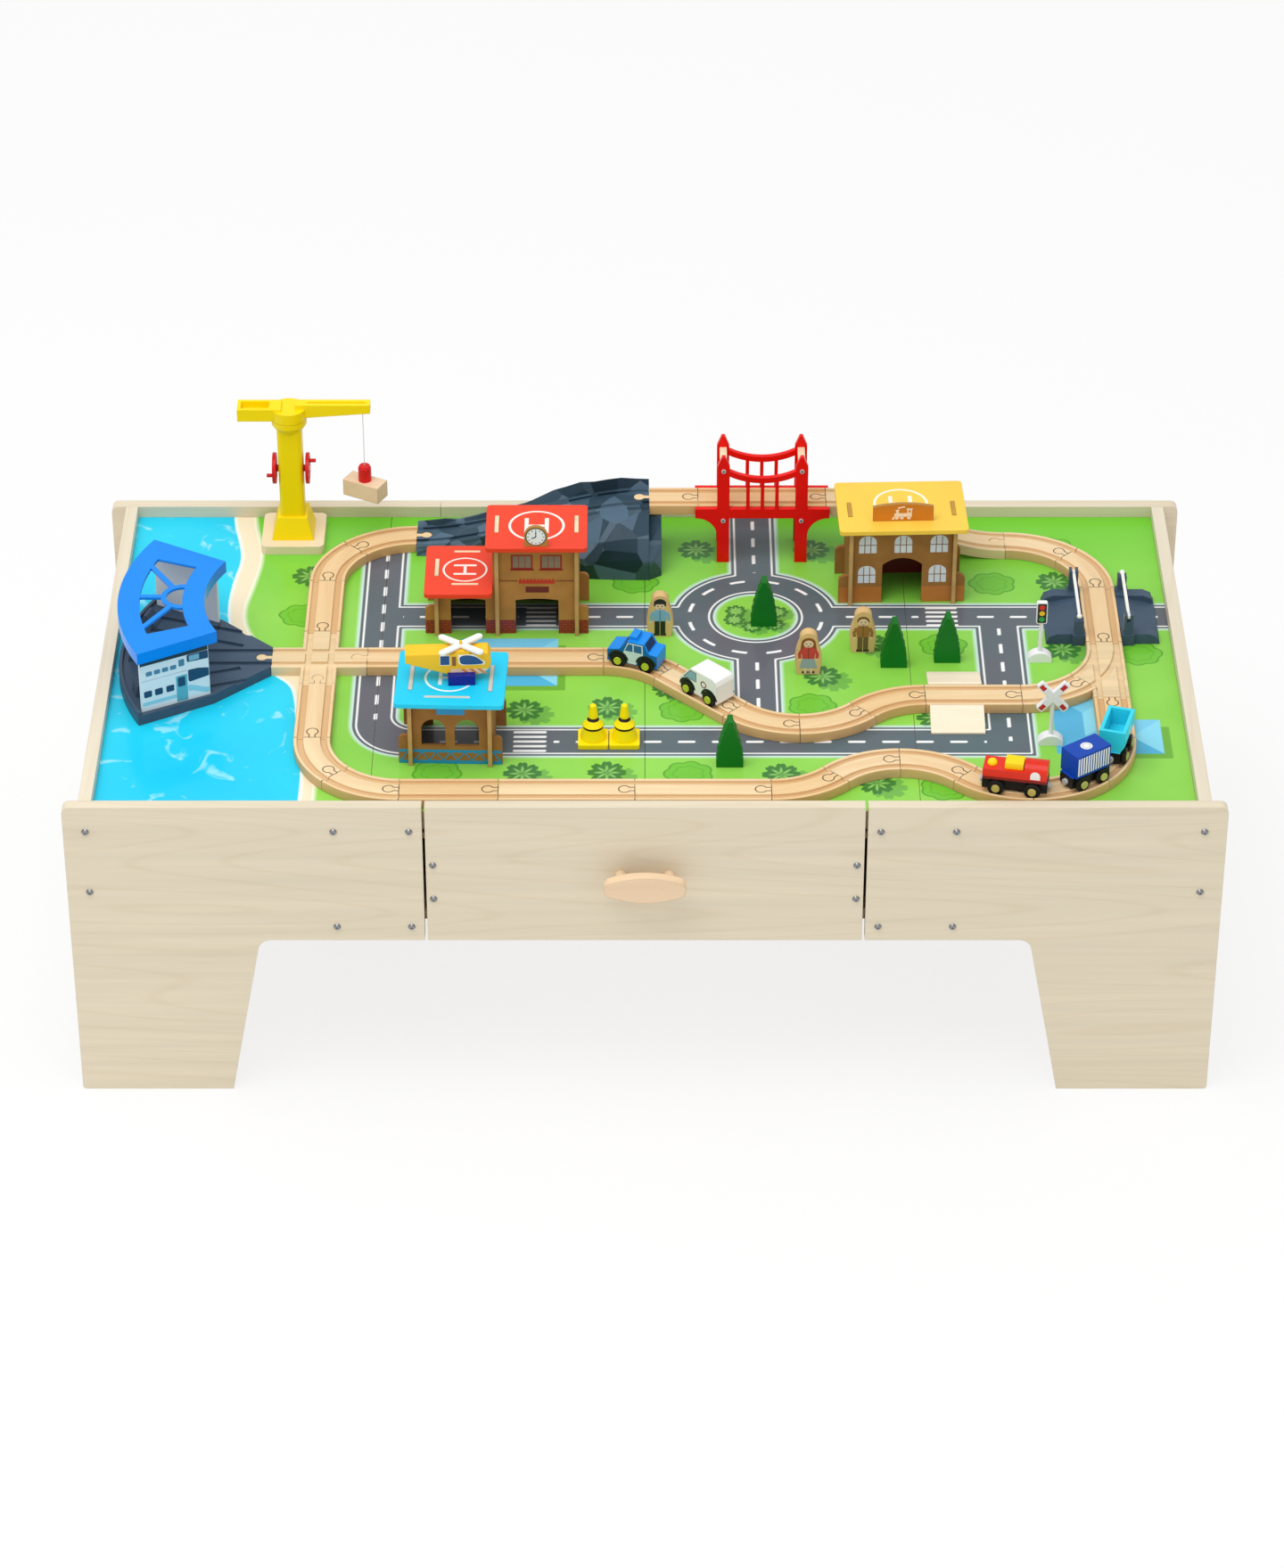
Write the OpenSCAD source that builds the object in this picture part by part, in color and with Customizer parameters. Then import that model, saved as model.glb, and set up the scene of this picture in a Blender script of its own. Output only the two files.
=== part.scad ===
// Wooden train table with its play set
// Millimetres, +X along the table, front at -Y, origin on the floor under the middle of the box

/* [Table] */
// Height of the rim above the floor
table_h = 378; // [340:1:460]
// Thickness of the long panels and the inner panels
panel_t = 14; // [12:0.5:18]
// Height of the apron panels
apron_h = 174; // [160:1:220]
// How far the rim stands above the play boards
rim_h = 14; // [8:0.5:24]
// Thickness of the play boards
board_t = 5; // [3:0.5:8]
// Number of play boards side by side
board_count = 4; // [2:1:6]
// Open seam round each play board
board_seam = 0.4; // [0.2:0.1:1]
// Length of the long panels past the end walls
end_overhang = 17; // [10:1:30]
// Width of a leg at the floor
leg_foot_w = 166; // [120:1:190]
// Width of a leg under the apron
leg_top_w = 204; // [150:1:240]
// Rounding between leg and apron
leg_fillet = 14; // [5:1:30]
// Rounding of the outer corners of the panels
panel_corner = 8; // [2:1:16]
// Distance from the middle of the table to a cross panel
cross_panel_x = 332; // [300:1:360]
// Side of the square battens under the boards
batten_w = 18; // [12:1:24]
// Radius of a screw head
screw_head_r = 4; // [3:0.25:5]
// Height of a screw head
screw_head_h = 2.2; // [1.5:0.1:3]
// Radius of a screw shank
screw_shank_r = 1.8; // [1.5:0.1:2.5]
// Length of a screw shank
screw_shank_l = 30; // [22:1:40]
// Clearance round a screw shank
screw_gap = 0.1; // [0.05:0.05:0.3]
// Distance of the upper row of panel screws from the rim
screw_top = 31; // [26:1:43]
// Distance of the lower end wall screws from the rim
screw_mid = 110; // [80:1:138]
// Height of the lower row of panel screws above the apron's edge
screw_low = 18; // [8:1:32]

/* [Drawer] */
// Width of the drawer front
drawer_w = 469; // [420:1:480]
// Gap between the drawer front and the panels beside it
drawer_gap = 3; // [2:0.5:5]
// Thickness of the drawer sides and back
drawer_side_t = 12; // [9:0.5:15]
// Height of the drawer sides above the apron's edge
drawer_lift = 32; // [22:1:42]
// Room behind the drawer
drawer_room = 63; // [50:1:180]
// Room between the kickers and the battens over them
kicker_room = 5.7; // [2:0.1:20]
// Distance from a drawer side to the divider beside it
drawer_clear = 11.5; // [8:0.5:14]
// Thickness of the drawer bottom
drawer_bottom_t = 4; // [3:0.5:6]
// Depth of the groove that holds the drawer bottom
bottom_groove = 5; // [3:0.5:6]
// Height of the drawer bottom above the sides' edge
bottom_lift = 8; // [5:0.5:15]
// Running gap between drawer and runners
slide_gap = 0.3; // [0.2:0.1:1]
// Height of a runner
runner_h = 14; // [8:1:18]
// Length of the oval handle
handle_w = 88; // [70:1:120]
// Height of the oval handle
handle_h = 32; // [24:1:40]
// Thickness of the oval handle
handle_t = 12; // [8:0.5:16]
// Rounding radius at the tips of the handle
handle_tip_r = 10; // [6:0.5:11]
// Length of the posts that hold the handle
post_l = 18; // [12:1:30]
// Radius of the posts
post_r = 6; // [4.5:0.5:8]
// Distance between the posts
post_span = 52; // [40:1:60]

/* [Track plan] */
// Width of a track piece
track_w = 40; // [38:0.5:42]
// Thickness of a track piece
track_t = 12; // [10:0.5:14]
// Width of a wheel groove
groove_w = 7; // [6.5:0.25:8]
// Depth of a wheel groove
groove_d = 3; // [2:0.25:4]
// Distance between the middles of the two grooves
gauge = 25.5; // [24.5:0.25:27]
// Eased edge along the top of a track
track_edge = 0.8; // [0.3:0.1:1.5]
// Radius of a curve at the middle of the track
curve_r = 98.5; // [90:0.5:115]
// Length of a short straight
short_l = 106; // [96:1:125]
// Length of a long straight
long_l = 146; // [136:1:170]
// Length of the deck straight between bridge and mountain
deck_l = 56; // [44:1:90]
// Length of the ascending track
ramp_l = 207; // [180:1:240]
// Height that the ascending track climbs
ramp_rise = 60; // [48:1:70]
// Length of the straight at the level crossing
gate_l = 114; // [108:1:130]
// Length of the switch
switch_l = 111; // [106:1:125]
// Length of the switch past the start of its branch
switch_lead = 7.5; // [4:0.5:15]
// Open seam between two track pieces
joint_gap = 0.5; // [0.2:0.1:1]
// Radius of a peg knob
peg_r = 6; // [5:0.25:7]
// Width of a peg neck
peg_neck = 6; // [5:0.25:8]
// Reach of a peg to the middle of its knob
peg_reach = 11.5; // [10:0.5:14]
// Clearance round a peg
peg_gap = 0.5; // [0.3:0.1:1]
// Room between the engine shed and the end wall
shed_room = 6; // [3:0.5:40]
// Board right of the track plan
right_margin = 76.5; // [72:0.5:120]
// Board in front of the track plan
front_margin = 24.5; // [22:0.5:60]
// Board behind the track plan
back_margin = 58.5; // [50:0.5:90]
// Length of a wooden road ramp beside a track
road_ramp_w = 59; // [50:1:70]
// Depth of a wooden road ramp
road_ramp_d = 40; // [30:1:50]
// Thickness of a road ramp at its lip
road_ramp_lip = 2; // [1:0.5:4]

/* [Mountain and bridge] */
// Widest stretch of rock in front of its track
rock_front = 38; // [20:1:46]
// Height of the rock ridge behind the mountain's track
rock_ridge = 8; // [4:1:14]
// Stretch of rock under the deck past the mountain's track
rock_toe = 14; // [8:1:20]
// Thickness of a bridge side
bridge_t = 6; // [4:0.5:8]
// Width of a bridge tower
tower_w = 14; // [11:0.5:18]
// Distance between the towers
tower_span = 89; // [80:1:100]
// Height of the towers above the deck's underside
tower_rise = 79.5; // [66:0.5:95]
// Height of the bridge beam
beam_h = 12; // [9:0.5:15]
// Length of the bridge beam
beam_l = 153; // [146:1:165]
// Height of the hanging rail at the towers above the deck
rail_rise = 58; // [50:0.5:62]
// Sag of the hanging rail
rail_sag = 9; // [5:0.5:13]
// Thickness of the hanging rail
rail_h = 6.6; // [4:0.2:8]
// Width of the bars under the hanging rail
bar_w = 4; // [3:0.5:6]
// Gap between the deck and the bridge sides
bridge_gap = 0.5; // [0.3:0.1:1]

/* [Buildings] */
// Thickness of the building walls
wall_t = 4.5; // [3.5:0.25:6]
// Thickness of the roofs
roof_t = 5; // [4:0.5:7]
// Clearance in the slots of walls and roofs
slot_gap = 0.2; // [0.1:0.05:0.4]
// Rounding of the roof corners
roof_corner = 5; // [2:0.5:8]
// Height of a roof tab above the roof
tab_rise = 0.8; // [0.4:0.1:1.5]
// Height of the wings beside the walls
wing_h = 36; // [28:1:44]
// Width of the wings beside the walls
wing_w = 13; // [10:0.5:18]
// Height of the castle's high walls
castle_high_h = 116; // [105:1:130]
// Height of the castle's low walls
castle_low_h = 59; // [54:1:70]
// Width of the castle's high part between its cross walls
castle_high_w = 89; // [80:1:100]
// Width of the castle's low part between its cross walls
castle_low_w = 68; // [60:1:76]
// Height of the castle's doors
castle_door_h = 46; // [40:1:50]
// Depth of the castle between its long walls
castle_d = 64; // [56:1:72]
// Height of the station's walls
station_h = 98; // [88:1:110]
// Width of the station between its cross walls
station_w = 117; // [105:1:125]
// Depth of the station between its long walls
station_d = 58; // [50:1:60]
// Turn of the station on the board
station_turn = 1.8; // [0:0.1:3]
// Height of the station's doorway
station_door_h = 59; // [48:1:66]
// Height of the kiosk's walls
kiosk_h = 80; // [72:1:95]
// Width of the kiosk between its cross walls
kiosk_w = 86; // [78:1:100]
// Depth of the kiosk between its long walls
kiosk_d = 70; // [60:1:76]
// Turn of the kiosk on the board
kiosk_turn = -1.8; // [-3:0.1:0]
// Radius of the clock face board
clock_r = 13; // [10:0.5:15]

/* [Engine shed] */
// Distance from the shed's centre to its track end
shed_tip_r = 77; // [70:1:84]
// Distance from the shed's centre to its inner wall ends
shed_inner_r = 156; // [148:1:162]
// Distance from the shed's centre to its outer edge
shed_outer_r = 246; // [225:1:247]
// Half of the angle that the shed fans through
shed_fan = 29; // [26:0.5:31]
// Height of the shed's walls above its deck
shed_wall_h = 77; // [65:1:90]
// Thickness of the shed's walls
shed_wall_t = 3; // [2:0.25:4]
// Height of the shed's roof shell
shed_roof_h = 14; // [9:0.5:18]
// Height of the rim round the shed's deck
shed_rim_h = 4; // [2:0.5:8]

/* [Crane] */
// Width of the crane's wooden base
crane_base_w = 72; // [62:1:80]
// Depth of the crane's wooden base
crane_base_d = 75; // [62:1:80]
// Thickness of the crane's wooden base
crane_base_t = 11; // [8:0.5:15]
// Width of the tower's flared foot
crane_foot_w = 48; // [42:1:54]
// Height of the tower's flared foot
crane_foot_h = 26; // [18:1:32]
// Width of the tower
crane_tower_w = 28; // [25:0.5:32]
// Height of the tower's top above the board
crane_tower_h = 161; // [150:1:185]
// Radius of the turntable collar
crane_collar_r = 20; // [18.5:0.5:23]
// Height of the jib
jib_h = 19; // [16:0.5:24]
// Width of the jib's arm
jib_w = 14; // [11:0.5:18]
// Length of the jib from pivot to tip
jib_l = 93; // [80:1:100]
// Length of the counter arm from pivot to end
counter_l = 58; // [45:1:62]
// Radius of the pivot that the jib turns on
pivot_r = 7; // [5:0.5:9]
// Height of the winch axle above the board
winch_z = 94; // [80:1:110]
// Radius of the winch axle
winch_r = 4; // [3:0.25:5]
// Radius of the winch wheels
winch_wheel_r = 18; // [15:0.5:21]
// Length of the crank pins
crank_l = 8; // [6:0.5:12]
// Running clearance of pins, axles and pivots
run_gap = 0.08; // [0.04:0.02:0.1]
// Radius of the hook magnet
hook_r = 7.5; // [6:0.5:9]
// Height of the hook magnet
hook_h = 19.5; // [16:0.5:26]
// Height of the hook magnet's underside above the board
hook_z = 78; // [70:1:84]
// Length of the cargo block
cargo_l = 46; // [36:1:52]
// Width of the cargo block
cargo_w = 22; // [16:1:26]
// Height of the cargo block
cargo_h = 20; // [16:1:26]
// Turn of the cargo block on its cord
cargo_turn = -28; // [-45:1:45]
// Radius of the hoist cord
cord_r = 0.5; // [0.4:0.05:0.8]

/* [Vehicles] */
// Radius of a wheel
wheel_r = 9; // [8:0.25:10]
// Width of a wheel's tread
wheel_w = 3.4; // [2.5:0.1:3.6]
// Radius of an axle
axle_r = 1.6; // [1.2:0.1:2]
// Clearance under a wheel in its groove
wheel_lift = 0.2; // [0.1:0.05:0.5]
// Length of the locomotive's body
loco_l = 69; // [62:1:74]
// Length of the box wagon's body
box_l = 46; // [42:1:52]
// Length of the tipper wagon's tub
tub_l = 50; // [44:1:54]
// Wall of the tipper wagon's tub
tub_wall = 4; // [2.5:0.5:6]
// Length of the police car
patrol_l = 59; // [54:1:64]
// Length of the van
van_l = 56; // [50:1:60]
// Width of the vehicles
vehicle_w = 27; // [24:0.5:30]
// Wheelbase of the locomotive
loco_base = 39; // [34:1:44]
// Wheelbase of the wagons
wagon_base = 27; // [25:1:30]
// Wheelbase of the cars
car_base = 33; // [29:1:36]

/* [Level crossing] */
// Width of a crossing ramp
cross_ramp_w = 43; // [36:1:48]
// Height of the gate posts
gate_post_h = 34; // [28:1:42]
// Width of a gate post
gate_post_w = 14; // [11:0.5:16]
// Depth of a gate post
gate_post_d = 12; // [10:0.5:16]
// Thickness of a gate arm
gate_arm_t = 3.2; // [2.5:0.1:4]
// Radius of a gate's pivot pin
gate_pin_r = 1.5; // [1:0.1:1.8]
// Radius of the ball at the end of a gate arm
gate_ball_r = 3; // [2:0.25:4]

/* [Trees, figures and signs] */
// Height of a tree
tree_h = 58; // [50:1:70]
// Width of a tree
tree_w = 29; // [26:1:38]
// Thickness of a tree
tree_t = 16; // [10:1:22]
// Height of a figure
figure_h = 54; // [46:1:66]
// Width of a figure
figure_w = 30; // [24:1:34]
// Thickness of a figure
figure_t = 12; // [8:1:16]
// Height of a traffic cone
cone_h = 48; // [40:1:56]
// Side of a traffic cone's base
cone_base = 33; // [28:1:36]
// Height of the signs
sign_h = 77; // [65:1:90]
// Width of a sign's foot
sign_foot_w = 27; // [22:1:32]
// Thickness of a sign's foot
sign_foot_t = 13; // [10:1:18]

/* [Hidden] */
$fn = 48;
half_turn = 45;
// Overall table sizes follow the track plan and its margins
plan_w = short_l + 2 * long_l + 4 * curve_r * sin(half_turn) + 2 * curve_r;
plan_d = 3 * short_l + 2 * curve_r;
left_margin = short_l / 2 - shed_tip_r + shed_outer_r + shed_room;
inner_l = left_margin + plan_w + right_margin;
inner_d = front_margin + plan_d + back_margin;
table_l = inner_l + 2 * (panel_t + end_overhang);
table_d = inner_d + 2 * panel_t;
board_z = table_h - rim_h;
frame_z = board_z - board_t;
apron_z = table_h - apron_h;
screw_top_z = table_h - screw_top;
screw_mid_z = table_h - screw_mid;
screw_low_z = apron_z + screw_low;
handle_proud = post_l + handle_t;
shift_y = (handle_proud - screw_head_h) / 2;
// Lines that the track plan is built on
left_x = -inner_l / 2 + left_margin;
right_x = left_x + plan_w;
front_y = -inner_d / 2 + front_margin;
cross_y = front_y + curve_r + 1.5 * short_l;
back_y = front_y + plan_d;
branch_y = cross_y - short_l * sin(half_turn) + curve_r;
switch_y = branch_y + switch_lead - switch_l;
gate_y = switch_y + switch_l;
bridge_y = gate_y + gate_l + curve_r;
right_run = switch_y - front_y - curve_r;
mid_run = curve_r - short_l / 2 + long_l - short_l * sin(half_turn);
ramp_x = right_x - curve_r;
deck_x = ramp_x - ramp_l;
mountain_x = deck_x - long_l - deck_l;
mountain_l = mountain_x - left_x - curve_r;
bridge_x = deck_x - long_l / 2;
// Drawer bay
divider_x = drawer_w / 2 + drawer_gap + panel_t;
drawer_side_x = divider_x - panel_t / 2 - drawer_clear - drawer_side_t / 2;
drawer_low_z = apron_z + drawer_lift;
kicker_h = runner_h / 2;
drawer_side_h = frame_z - batten_w - kicker_room - kicker_h - slide_gap - drawer_low_z;
drawer_box_l = inner_d - drawer_room;
drawer_back_y = -inner_d / 2 + drawer_box_l;
handle_z = apron_z + apron_h / 2;
// Joint angle that half a seam takes on a curve
seam_turn = joint_gap / 2 / curve_r * 180 / PI;
// Section of a track across its length, with its two grooves
groove_in = gauge / 2 - groove_w / 2;
groove_out = gauge / 2 + groove_w / 2;
half_section = [
  [track_w / 2, 0],
  [track_w / 2, track_t - track_edge],
  [track_w / 2 - track_edge, track_t],
  [groove_out, track_t],
  [groove_out, track_t - groove_d],
  [groove_in, track_t - groove_d],
  [groove_in, track_t]
];
track_section = concat(half_section, [for (i = [6:-1:0]) [-half_section[i][0], half_section[i][1]]]);
blank_section = [
  [track_w / 2, 0],
  [track_w / 2, track_t - track_edge],
  [track_w / 2 - track_edge, track_t],
  [-track_w / 2 + track_edge, track_t],
  [-track_w / 2, track_t - track_edge],
  [-track_w / 2, 0]
];
// A pose is [x, y, heading]; a step is [length, turn], turn 1 left, -1 right, 0 straight on
function go(p, d) = [p[0] + d * cos(p[2]), p[1] + d * sin(p[2]), p[2]];
function bend(p, s, a = half_turn, r = curve_r) = [
  p[0] + r * s * (sin(p[2] + a * s) - sin(p[2])),
  p[1] - r * s * (cos(p[2] + a * s) - cos(p[2])),
  p[2] + a * s
];
function after(p, s) = s[1] == 0 ? go(p, s[0]) : bend(p, s[1]);
function walk(p, steps, i = 0) =
  i == len(steps) ? [] : concat([[p, steps[i]]], walk(after(p, steps[i]), steps, i + 1));
left_turn = [0, 1];
right_turn = [0, -1];
outer_route = walk([left_x, cross_y - short_l / 2, -90], [
  [short_l, 0], left_turn, left_turn, [short_l, 0], [long_l, 0], [long_l, 0],
  left_turn, right_turn, right_turn, left_turn, left_turn, left_turn, [right_run, 0]
]);
gate_route = walk([right_x, gate_y, 90], [[gate_l, 0], left_turn, left_turn]);
back_route = walk([left_x + curve_r, back_y, 180], [left_turn, left_turn, [short_l, 0]]);
mid_route = walk([left_x + short_l / 2, cross_y, 0], [
  [mid_run, 0], [long_l, 0], right_turn, [short_l, 0], left_turn, left_turn, right_turn,
  [short_l, 0], left_turn
]);
deck_route = walk([deck_x, bridge_y, 180], [[long_l, 0], [deck_l, 0]]);
// The same piece laid the other way round, its peg at the other end
function turned(q) = let (e = after(q[0], q[1])) [[e[0], e[1], e[2] + 180], [q[1][0], -q[1][1]]];
flat_routes = concat(gate_route, [for (q = concat(outer_route, back_route, mid_route)) turned(q)]);
branch_pose = after(mid_route[8][0], left_turn);
road_pose = mid_route[7][0];
// Ascending track: two equal arcs
ramp_turn = 2 * atan(ramp_rise / ramp_l);
ramp_r = ramp_l / 2 / sin(ramp_turn);
// A place on the boards, in shares of the track plan's length and depth
function plan_at(u, v) = [left_x + u * plan_w, front_y + v * plan_d];
castle_at = plan_at(0.2244, 0.6301);
station_at = plan_at(0.7459, 0.8215);
kiosk_at = plan_at(0.1734, 0.2039);
shed_at = [left_x - short_l / 2 + shed_tip_r, cross_y];
crane_at = plan_at(-0.0504, 1.0252);
heli_at = [kiosk_at[0] - 2, kiosk_at[1] + 3];
heli_l = 92;
heli_t = 22;
heli_base_h = 12;
heli_z = kiosk_h + roof_t;
rotor_l = 58;
rotor_w = 8;
rotor_t = 2.5;
mast_x = 14;
mast_h = 7;
mast_r = 1.6;
heli_body_h = 26;
heli_lift = heli_base_h - 3;
rotor_z = heli_z + heli_lift + heli_body_h + 3;
// Crane levels
turn_z = crane_tower_h;
jib_gap = 0.4;
jib_disc_h = jib_h * 0.7;
winch_half = crane_tower_w / 2 + 3;
winch_wheel_t = 4;
tip_x = crane_at[0] + jib_l - 9;
cord_low_z = hook_z + hook_h;
cord_high_z = turn_z + jib_h * 0.7;
// Vehicle levels and places
wheel_z = track_t - groove_d + wheel_lift + wheel_r;
floor_z = track_t + 2.5;
train_centre = [right_x - curve_r, front_y + curve_r];
function sag_r(base) = sqrt(curve_r * curve_r - base * base / 4);
function train_pose(a, base) = [
  train_centre[0] + sag_r(base) * sin(a), train_centre[1] - sag_r(base) * cos(a), a + 180
];
loco_pose = train_pose(-11, loco_base);
box_pose = train_pose(35.5, wagon_base);
tub_pose = train_pose(73.5, wagon_base);
patrol_turn = 22;
patrol_start = mid_route[2][0];
patrol_pose = [
  patrol_start[0] + sag_r(car_base) * sin(patrol_turn),
  patrol_start[1] - curve_r + sag_r(car_base) * cos(patrol_turn),
  180 - patrol_turn
];
van_along = 62;
van_start = go(mid_route[3][0], van_along);
van_pose = [van_start[0], van_start[1], van_start[2] + 180];
tree_places = [plan_at(0.5667, 0.6719), plan_at(0.7299, 0.5078), plan_at(0.7985, 0.5272), plan_at(0.5181, 0.1282)];
figure_places = [plan_at(0.4328, 0.6282), plan_at(0.6205, 0.4786), plan_at(0.6915, 0.5641)];
cone_places = [plan_at(0.3491, 0.2117), plan_at(0.388, 0.2117)];
light_at = plan_at(0.9164, 0.5253);
cross_sign_at = plan_at(0.9176, 0.2058);

// General shapes

// Brings the middle of the whole box over the origin
module put() {
  translate([0, shift_y, 0]) children();
}

// What stands on the play boards
module on_board(p, lift = 0) {
  translate([p[0], p[1], board_z + lift]) rotate([0, 0, len(p) > 2 ? p[2] : 0]) children();
}

// A flat outline in x and z stood up behind y = 0
module stood(t) {
  translate([0, t, 0]) rotate([90, 0, 0]) linear_extrude(t) children();
}

// Both sides of the table, mirrored in x
module both_sides() {
  children();
  mirror([1, 0, 0]) children();
}

// Rectangle with round corners, centred
module round_rect(w, h, r) {
  square([w - 2 * r, h], center = true);
  square([w, h - 2 * r], center = true);
  for (sx = [-1, 1], sy = [-1, 1]) translate([sx * (w / 2 - r), sy * (h / 2 - r)]) circle(r);
}

// What a round corner leaves of its square
module corner_waste(r) {
  difference() {
    square(r);
    translate([r, r]) circle(r);
  }
}

// Box standing on z = 0, centred in x and y
module block(l, w, h) {
  translate([-l / 2, -w / 2, 0]) cube([l, w, h]);
}

// Cylinder along y, centred
module rod_y(r, l) {
  rotate([90, 0, 0]) cylinder(r = r, h = l, center = true);
}

// Cylinder along x, centred
module rod_x(r, l) {
  rotate([0, 90, 0]) cylinder(r = r, h = l, center = true);
}

// Table

// Right half of a long panel: apron and slanted leg
module leg_outline() {
  inner_x = drawer_w / 2 + drawer_gap;
  outer_x = table_l / 2;
  slant = atan((leg_top_w - leg_foot_w) / apron_z);
  reach = leg_fillet * (1 - sin(slant)) / cos(slant);
  root = [outer_x - leg_top_w, apron_z];
  centre = [root[0] - reach, apron_z - leg_fillet];
  difference() {
    union() {
      translate([inner_x, apron_z]) square([outer_x - inner_x, apron_h]);
      polygon([
        [outer_x, 0], [outer_x - leg_foot_w, 0], root, [outer_x, apron_z]
      ]);
      difference() {
        polygon([
          root, [root[0] - reach, apron_z], centre,
          [root[0] + reach * sin(slant), apron_z - reach * cos(slant)]
        ]);
        translate(centre) circle(leg_fillet);
      }
    }
    translate([outer_x, table_h]) rotate(180) corner_waste(panel_corner);
    translate([outer_x, 0]) rotate(90) corner_waste(panel_corner / 2);
  }
}

end_wall_x = inner_l / 2 + panel_t / 2;
screw_places = [
  [end_wall_x, screw_top_z], [end_wall_x, screw_mid_z],
  [cross_panel_x, screw_top_z], [cross_panel_x, screw_low_z],
  [divider_x, screw_top_z], [divider_x, screw_low_z]
];
corner_batten_x = divider_x - panel_t / 2 - batten_w / 2;
centre_screws = [[corner_batten_x, screw_top_z - batten_w], [corner_batten_x, screw_low_z]];

// One screw along +y with its head at y = 0 and outside
module screw(length) {
  rotate([-90, 0, 0]) cylinder(r = screw_shank_r, h = length);
  rotate([90, 0, 0]) difference() {
    cylinder(r1 = screw_head_r, r2 = screw_head_r * 0.72, h = screw_head_h);
    translate([0, 0, screw_head_h - 0.9]) cylinder(r = screw_head_r * 0.4, h = 1, $fn = 6);
  }
}

// Bore for a screw
module screw_bore(length) {
  rotate([-90, 0, 0]) cylinder(r = screw_shank_r + screw_gap, h = length + screw_gap);
}

// Places of the screws in the front and back panels
module at_panel_screws() {
  both_sides() {
    for (p = screw_places) {
      translate([p[0], -table_d / 2, p[1]]) children();
      translate([p[0], table_d / 2, p[1]]) mirror([0, 1, 0]) children();
    }
    for (p = centre_screws) translate([p[0], table_d / 2, p[1]]) mirror([0, 1, 0]) children();
  }
}

// Holes for the panel screws
module screw_holes() {
  at_panel_screws() screw_bore(screw_shank_l);
}

module front_leg_panels() {
  color("#DDD0B4") difference() {
    translate([0, -table_d / 2, 0]) both_sides() stood(panel_t) leg_outline();
    screw_holes();
  }
}

// Two leg panels and the plain centre panel between them
module back_panels() {
  w = drawer_w + 2 * (drawer_gap - board_seam);
  color("#DDD0B4") difference() {
    translate([0, inner_d / 2, 0]) {
      both_sides() stood(panel_t) leg_outline();
      translate([-w / 2, 0, apron_z]) cube([w, panel_t, apron_h]);
    }
    screw_holes();
  }
}

module end_walls() {
  color("#E4D8BE") difference() {
    both_sides() translate([inner_l / 2, -inner_d / 2, apron_z]) cube([panel_t, inner_d, apron_h]);
    screw_holes();
  }
}

// Cross panels and drawer bay dividers
module inner_panels() {
  color("#D6C7A6") difference() {
    both_sides() {
      for (x = [cross_panel_x, divider_x]) {
        translate([x - panel_t / 2, -inner_d / 2, apron_z]) cube([panel_t, inner_d, frame_z - apron_z]);
      }
    }
    screw_holes();
  }
}

// Battens under the boards and in the corners of the back centre panel
module board_battens() {
  outer_l = inner_l / 2 - cross_panel_x - panel_t / 2 - batten_w;
  bay_l = 2 * divider_x - panel_t;
  color("#CDBB94") difference() {
    union() {
      both_sides() {
        translate([inner_l / 2 - batten_w, -inner_d / 2, frame_z - batten_w])
          cube([batten_w, inner_d, batten_w]);
        for (y = [-inner_d / 2, inner_d / 2 - batten_w]) {
          translate([cross_panel_x + panel_t / 2, y, frame_z - batten_w]) cube([outer_l, batten_w, batten_w]);
        }
        translate([corner_batten_x - batten_w / 2, inner_d / 2 - batten_w, apron_z])
          cube([batten_w, batten_w, apron_h - rim_h - board_t - batten_w]);
      }
      for (y = [-inner_d / 2 + slide_gap, inner_d / 2 - batten_w]) {
        translate([-bay_l / 2, y, frame_z - batten_w]) cube([bay_l, batten_w, batten_w]);
      }
    }
    screw_holes();
  }
}

// Runners under the drawer sides and kickers over them
module drawer_runners() {
  reach = drawer_clear + drawer_side_t;
  kicker_z = drawer_low_z + drawer_side_h + slide_gap;
  length = drawer_box_l - 10;
  color("#C9B68C") both_sides() {
    for (z = [drawer_low_z - slide_gap - runner_h, kicker_z]) {
      translate([divider_x - panel_t / 2 - reach, -inner_d / 2 + 1, z])
        cube([reach, length, z < drawer_low_z ? runner_h : kicker_h]);
    }
  }
}

module play_boards() {
  pitch = inner_l / board_count;
  color("#8ED05A") for (i = [0:board_count - 1]) {
    translate([-inner_l / 2 + i * pitch + board_seam / 2, -inner_d / 2 + board_seam, frame_z])
      cube([pitch - board_seam, inner_d - 2 * board_seam, board_t]);
  }
}

module panel_screws() {
  color("silver") at_panel_screws() screw(screw_shank_l);
}

// Drawer

drawer_screw_z = [drawer_low_z + drawer_side_h * 0.25, drawer_low_z + drawer_side_h * 0.73];

// Screws that hold the drawer front
module at_drawer_screws() {
  both_sides() for (z = drawer_screw_z) translate([drawer_side_x, -table_d / 2, z]) children();
}

// Screws that hold the handle
module at_handle_screws() {
  both_sides() translate([post_span / 2, -inner_d / 2, handle_z]) mirror([0, 1, 0]) children();
}

handle_screw_l = panel_t + post_l * 0.6;

module drawer_holes() {
  at_drawer_screws() screw_bore(screw_shank_l);
  at_handle_screws() screw_bore(handle_screw_l);
}

module drawer_front() {
  color("#DDD0B4") difference() {
    translate([-drawer_w / 2, -table_d / 2, apron_z]) cube([drawer_w, panel_t, apron_h]);
    drawer_holes();
  }
}

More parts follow.
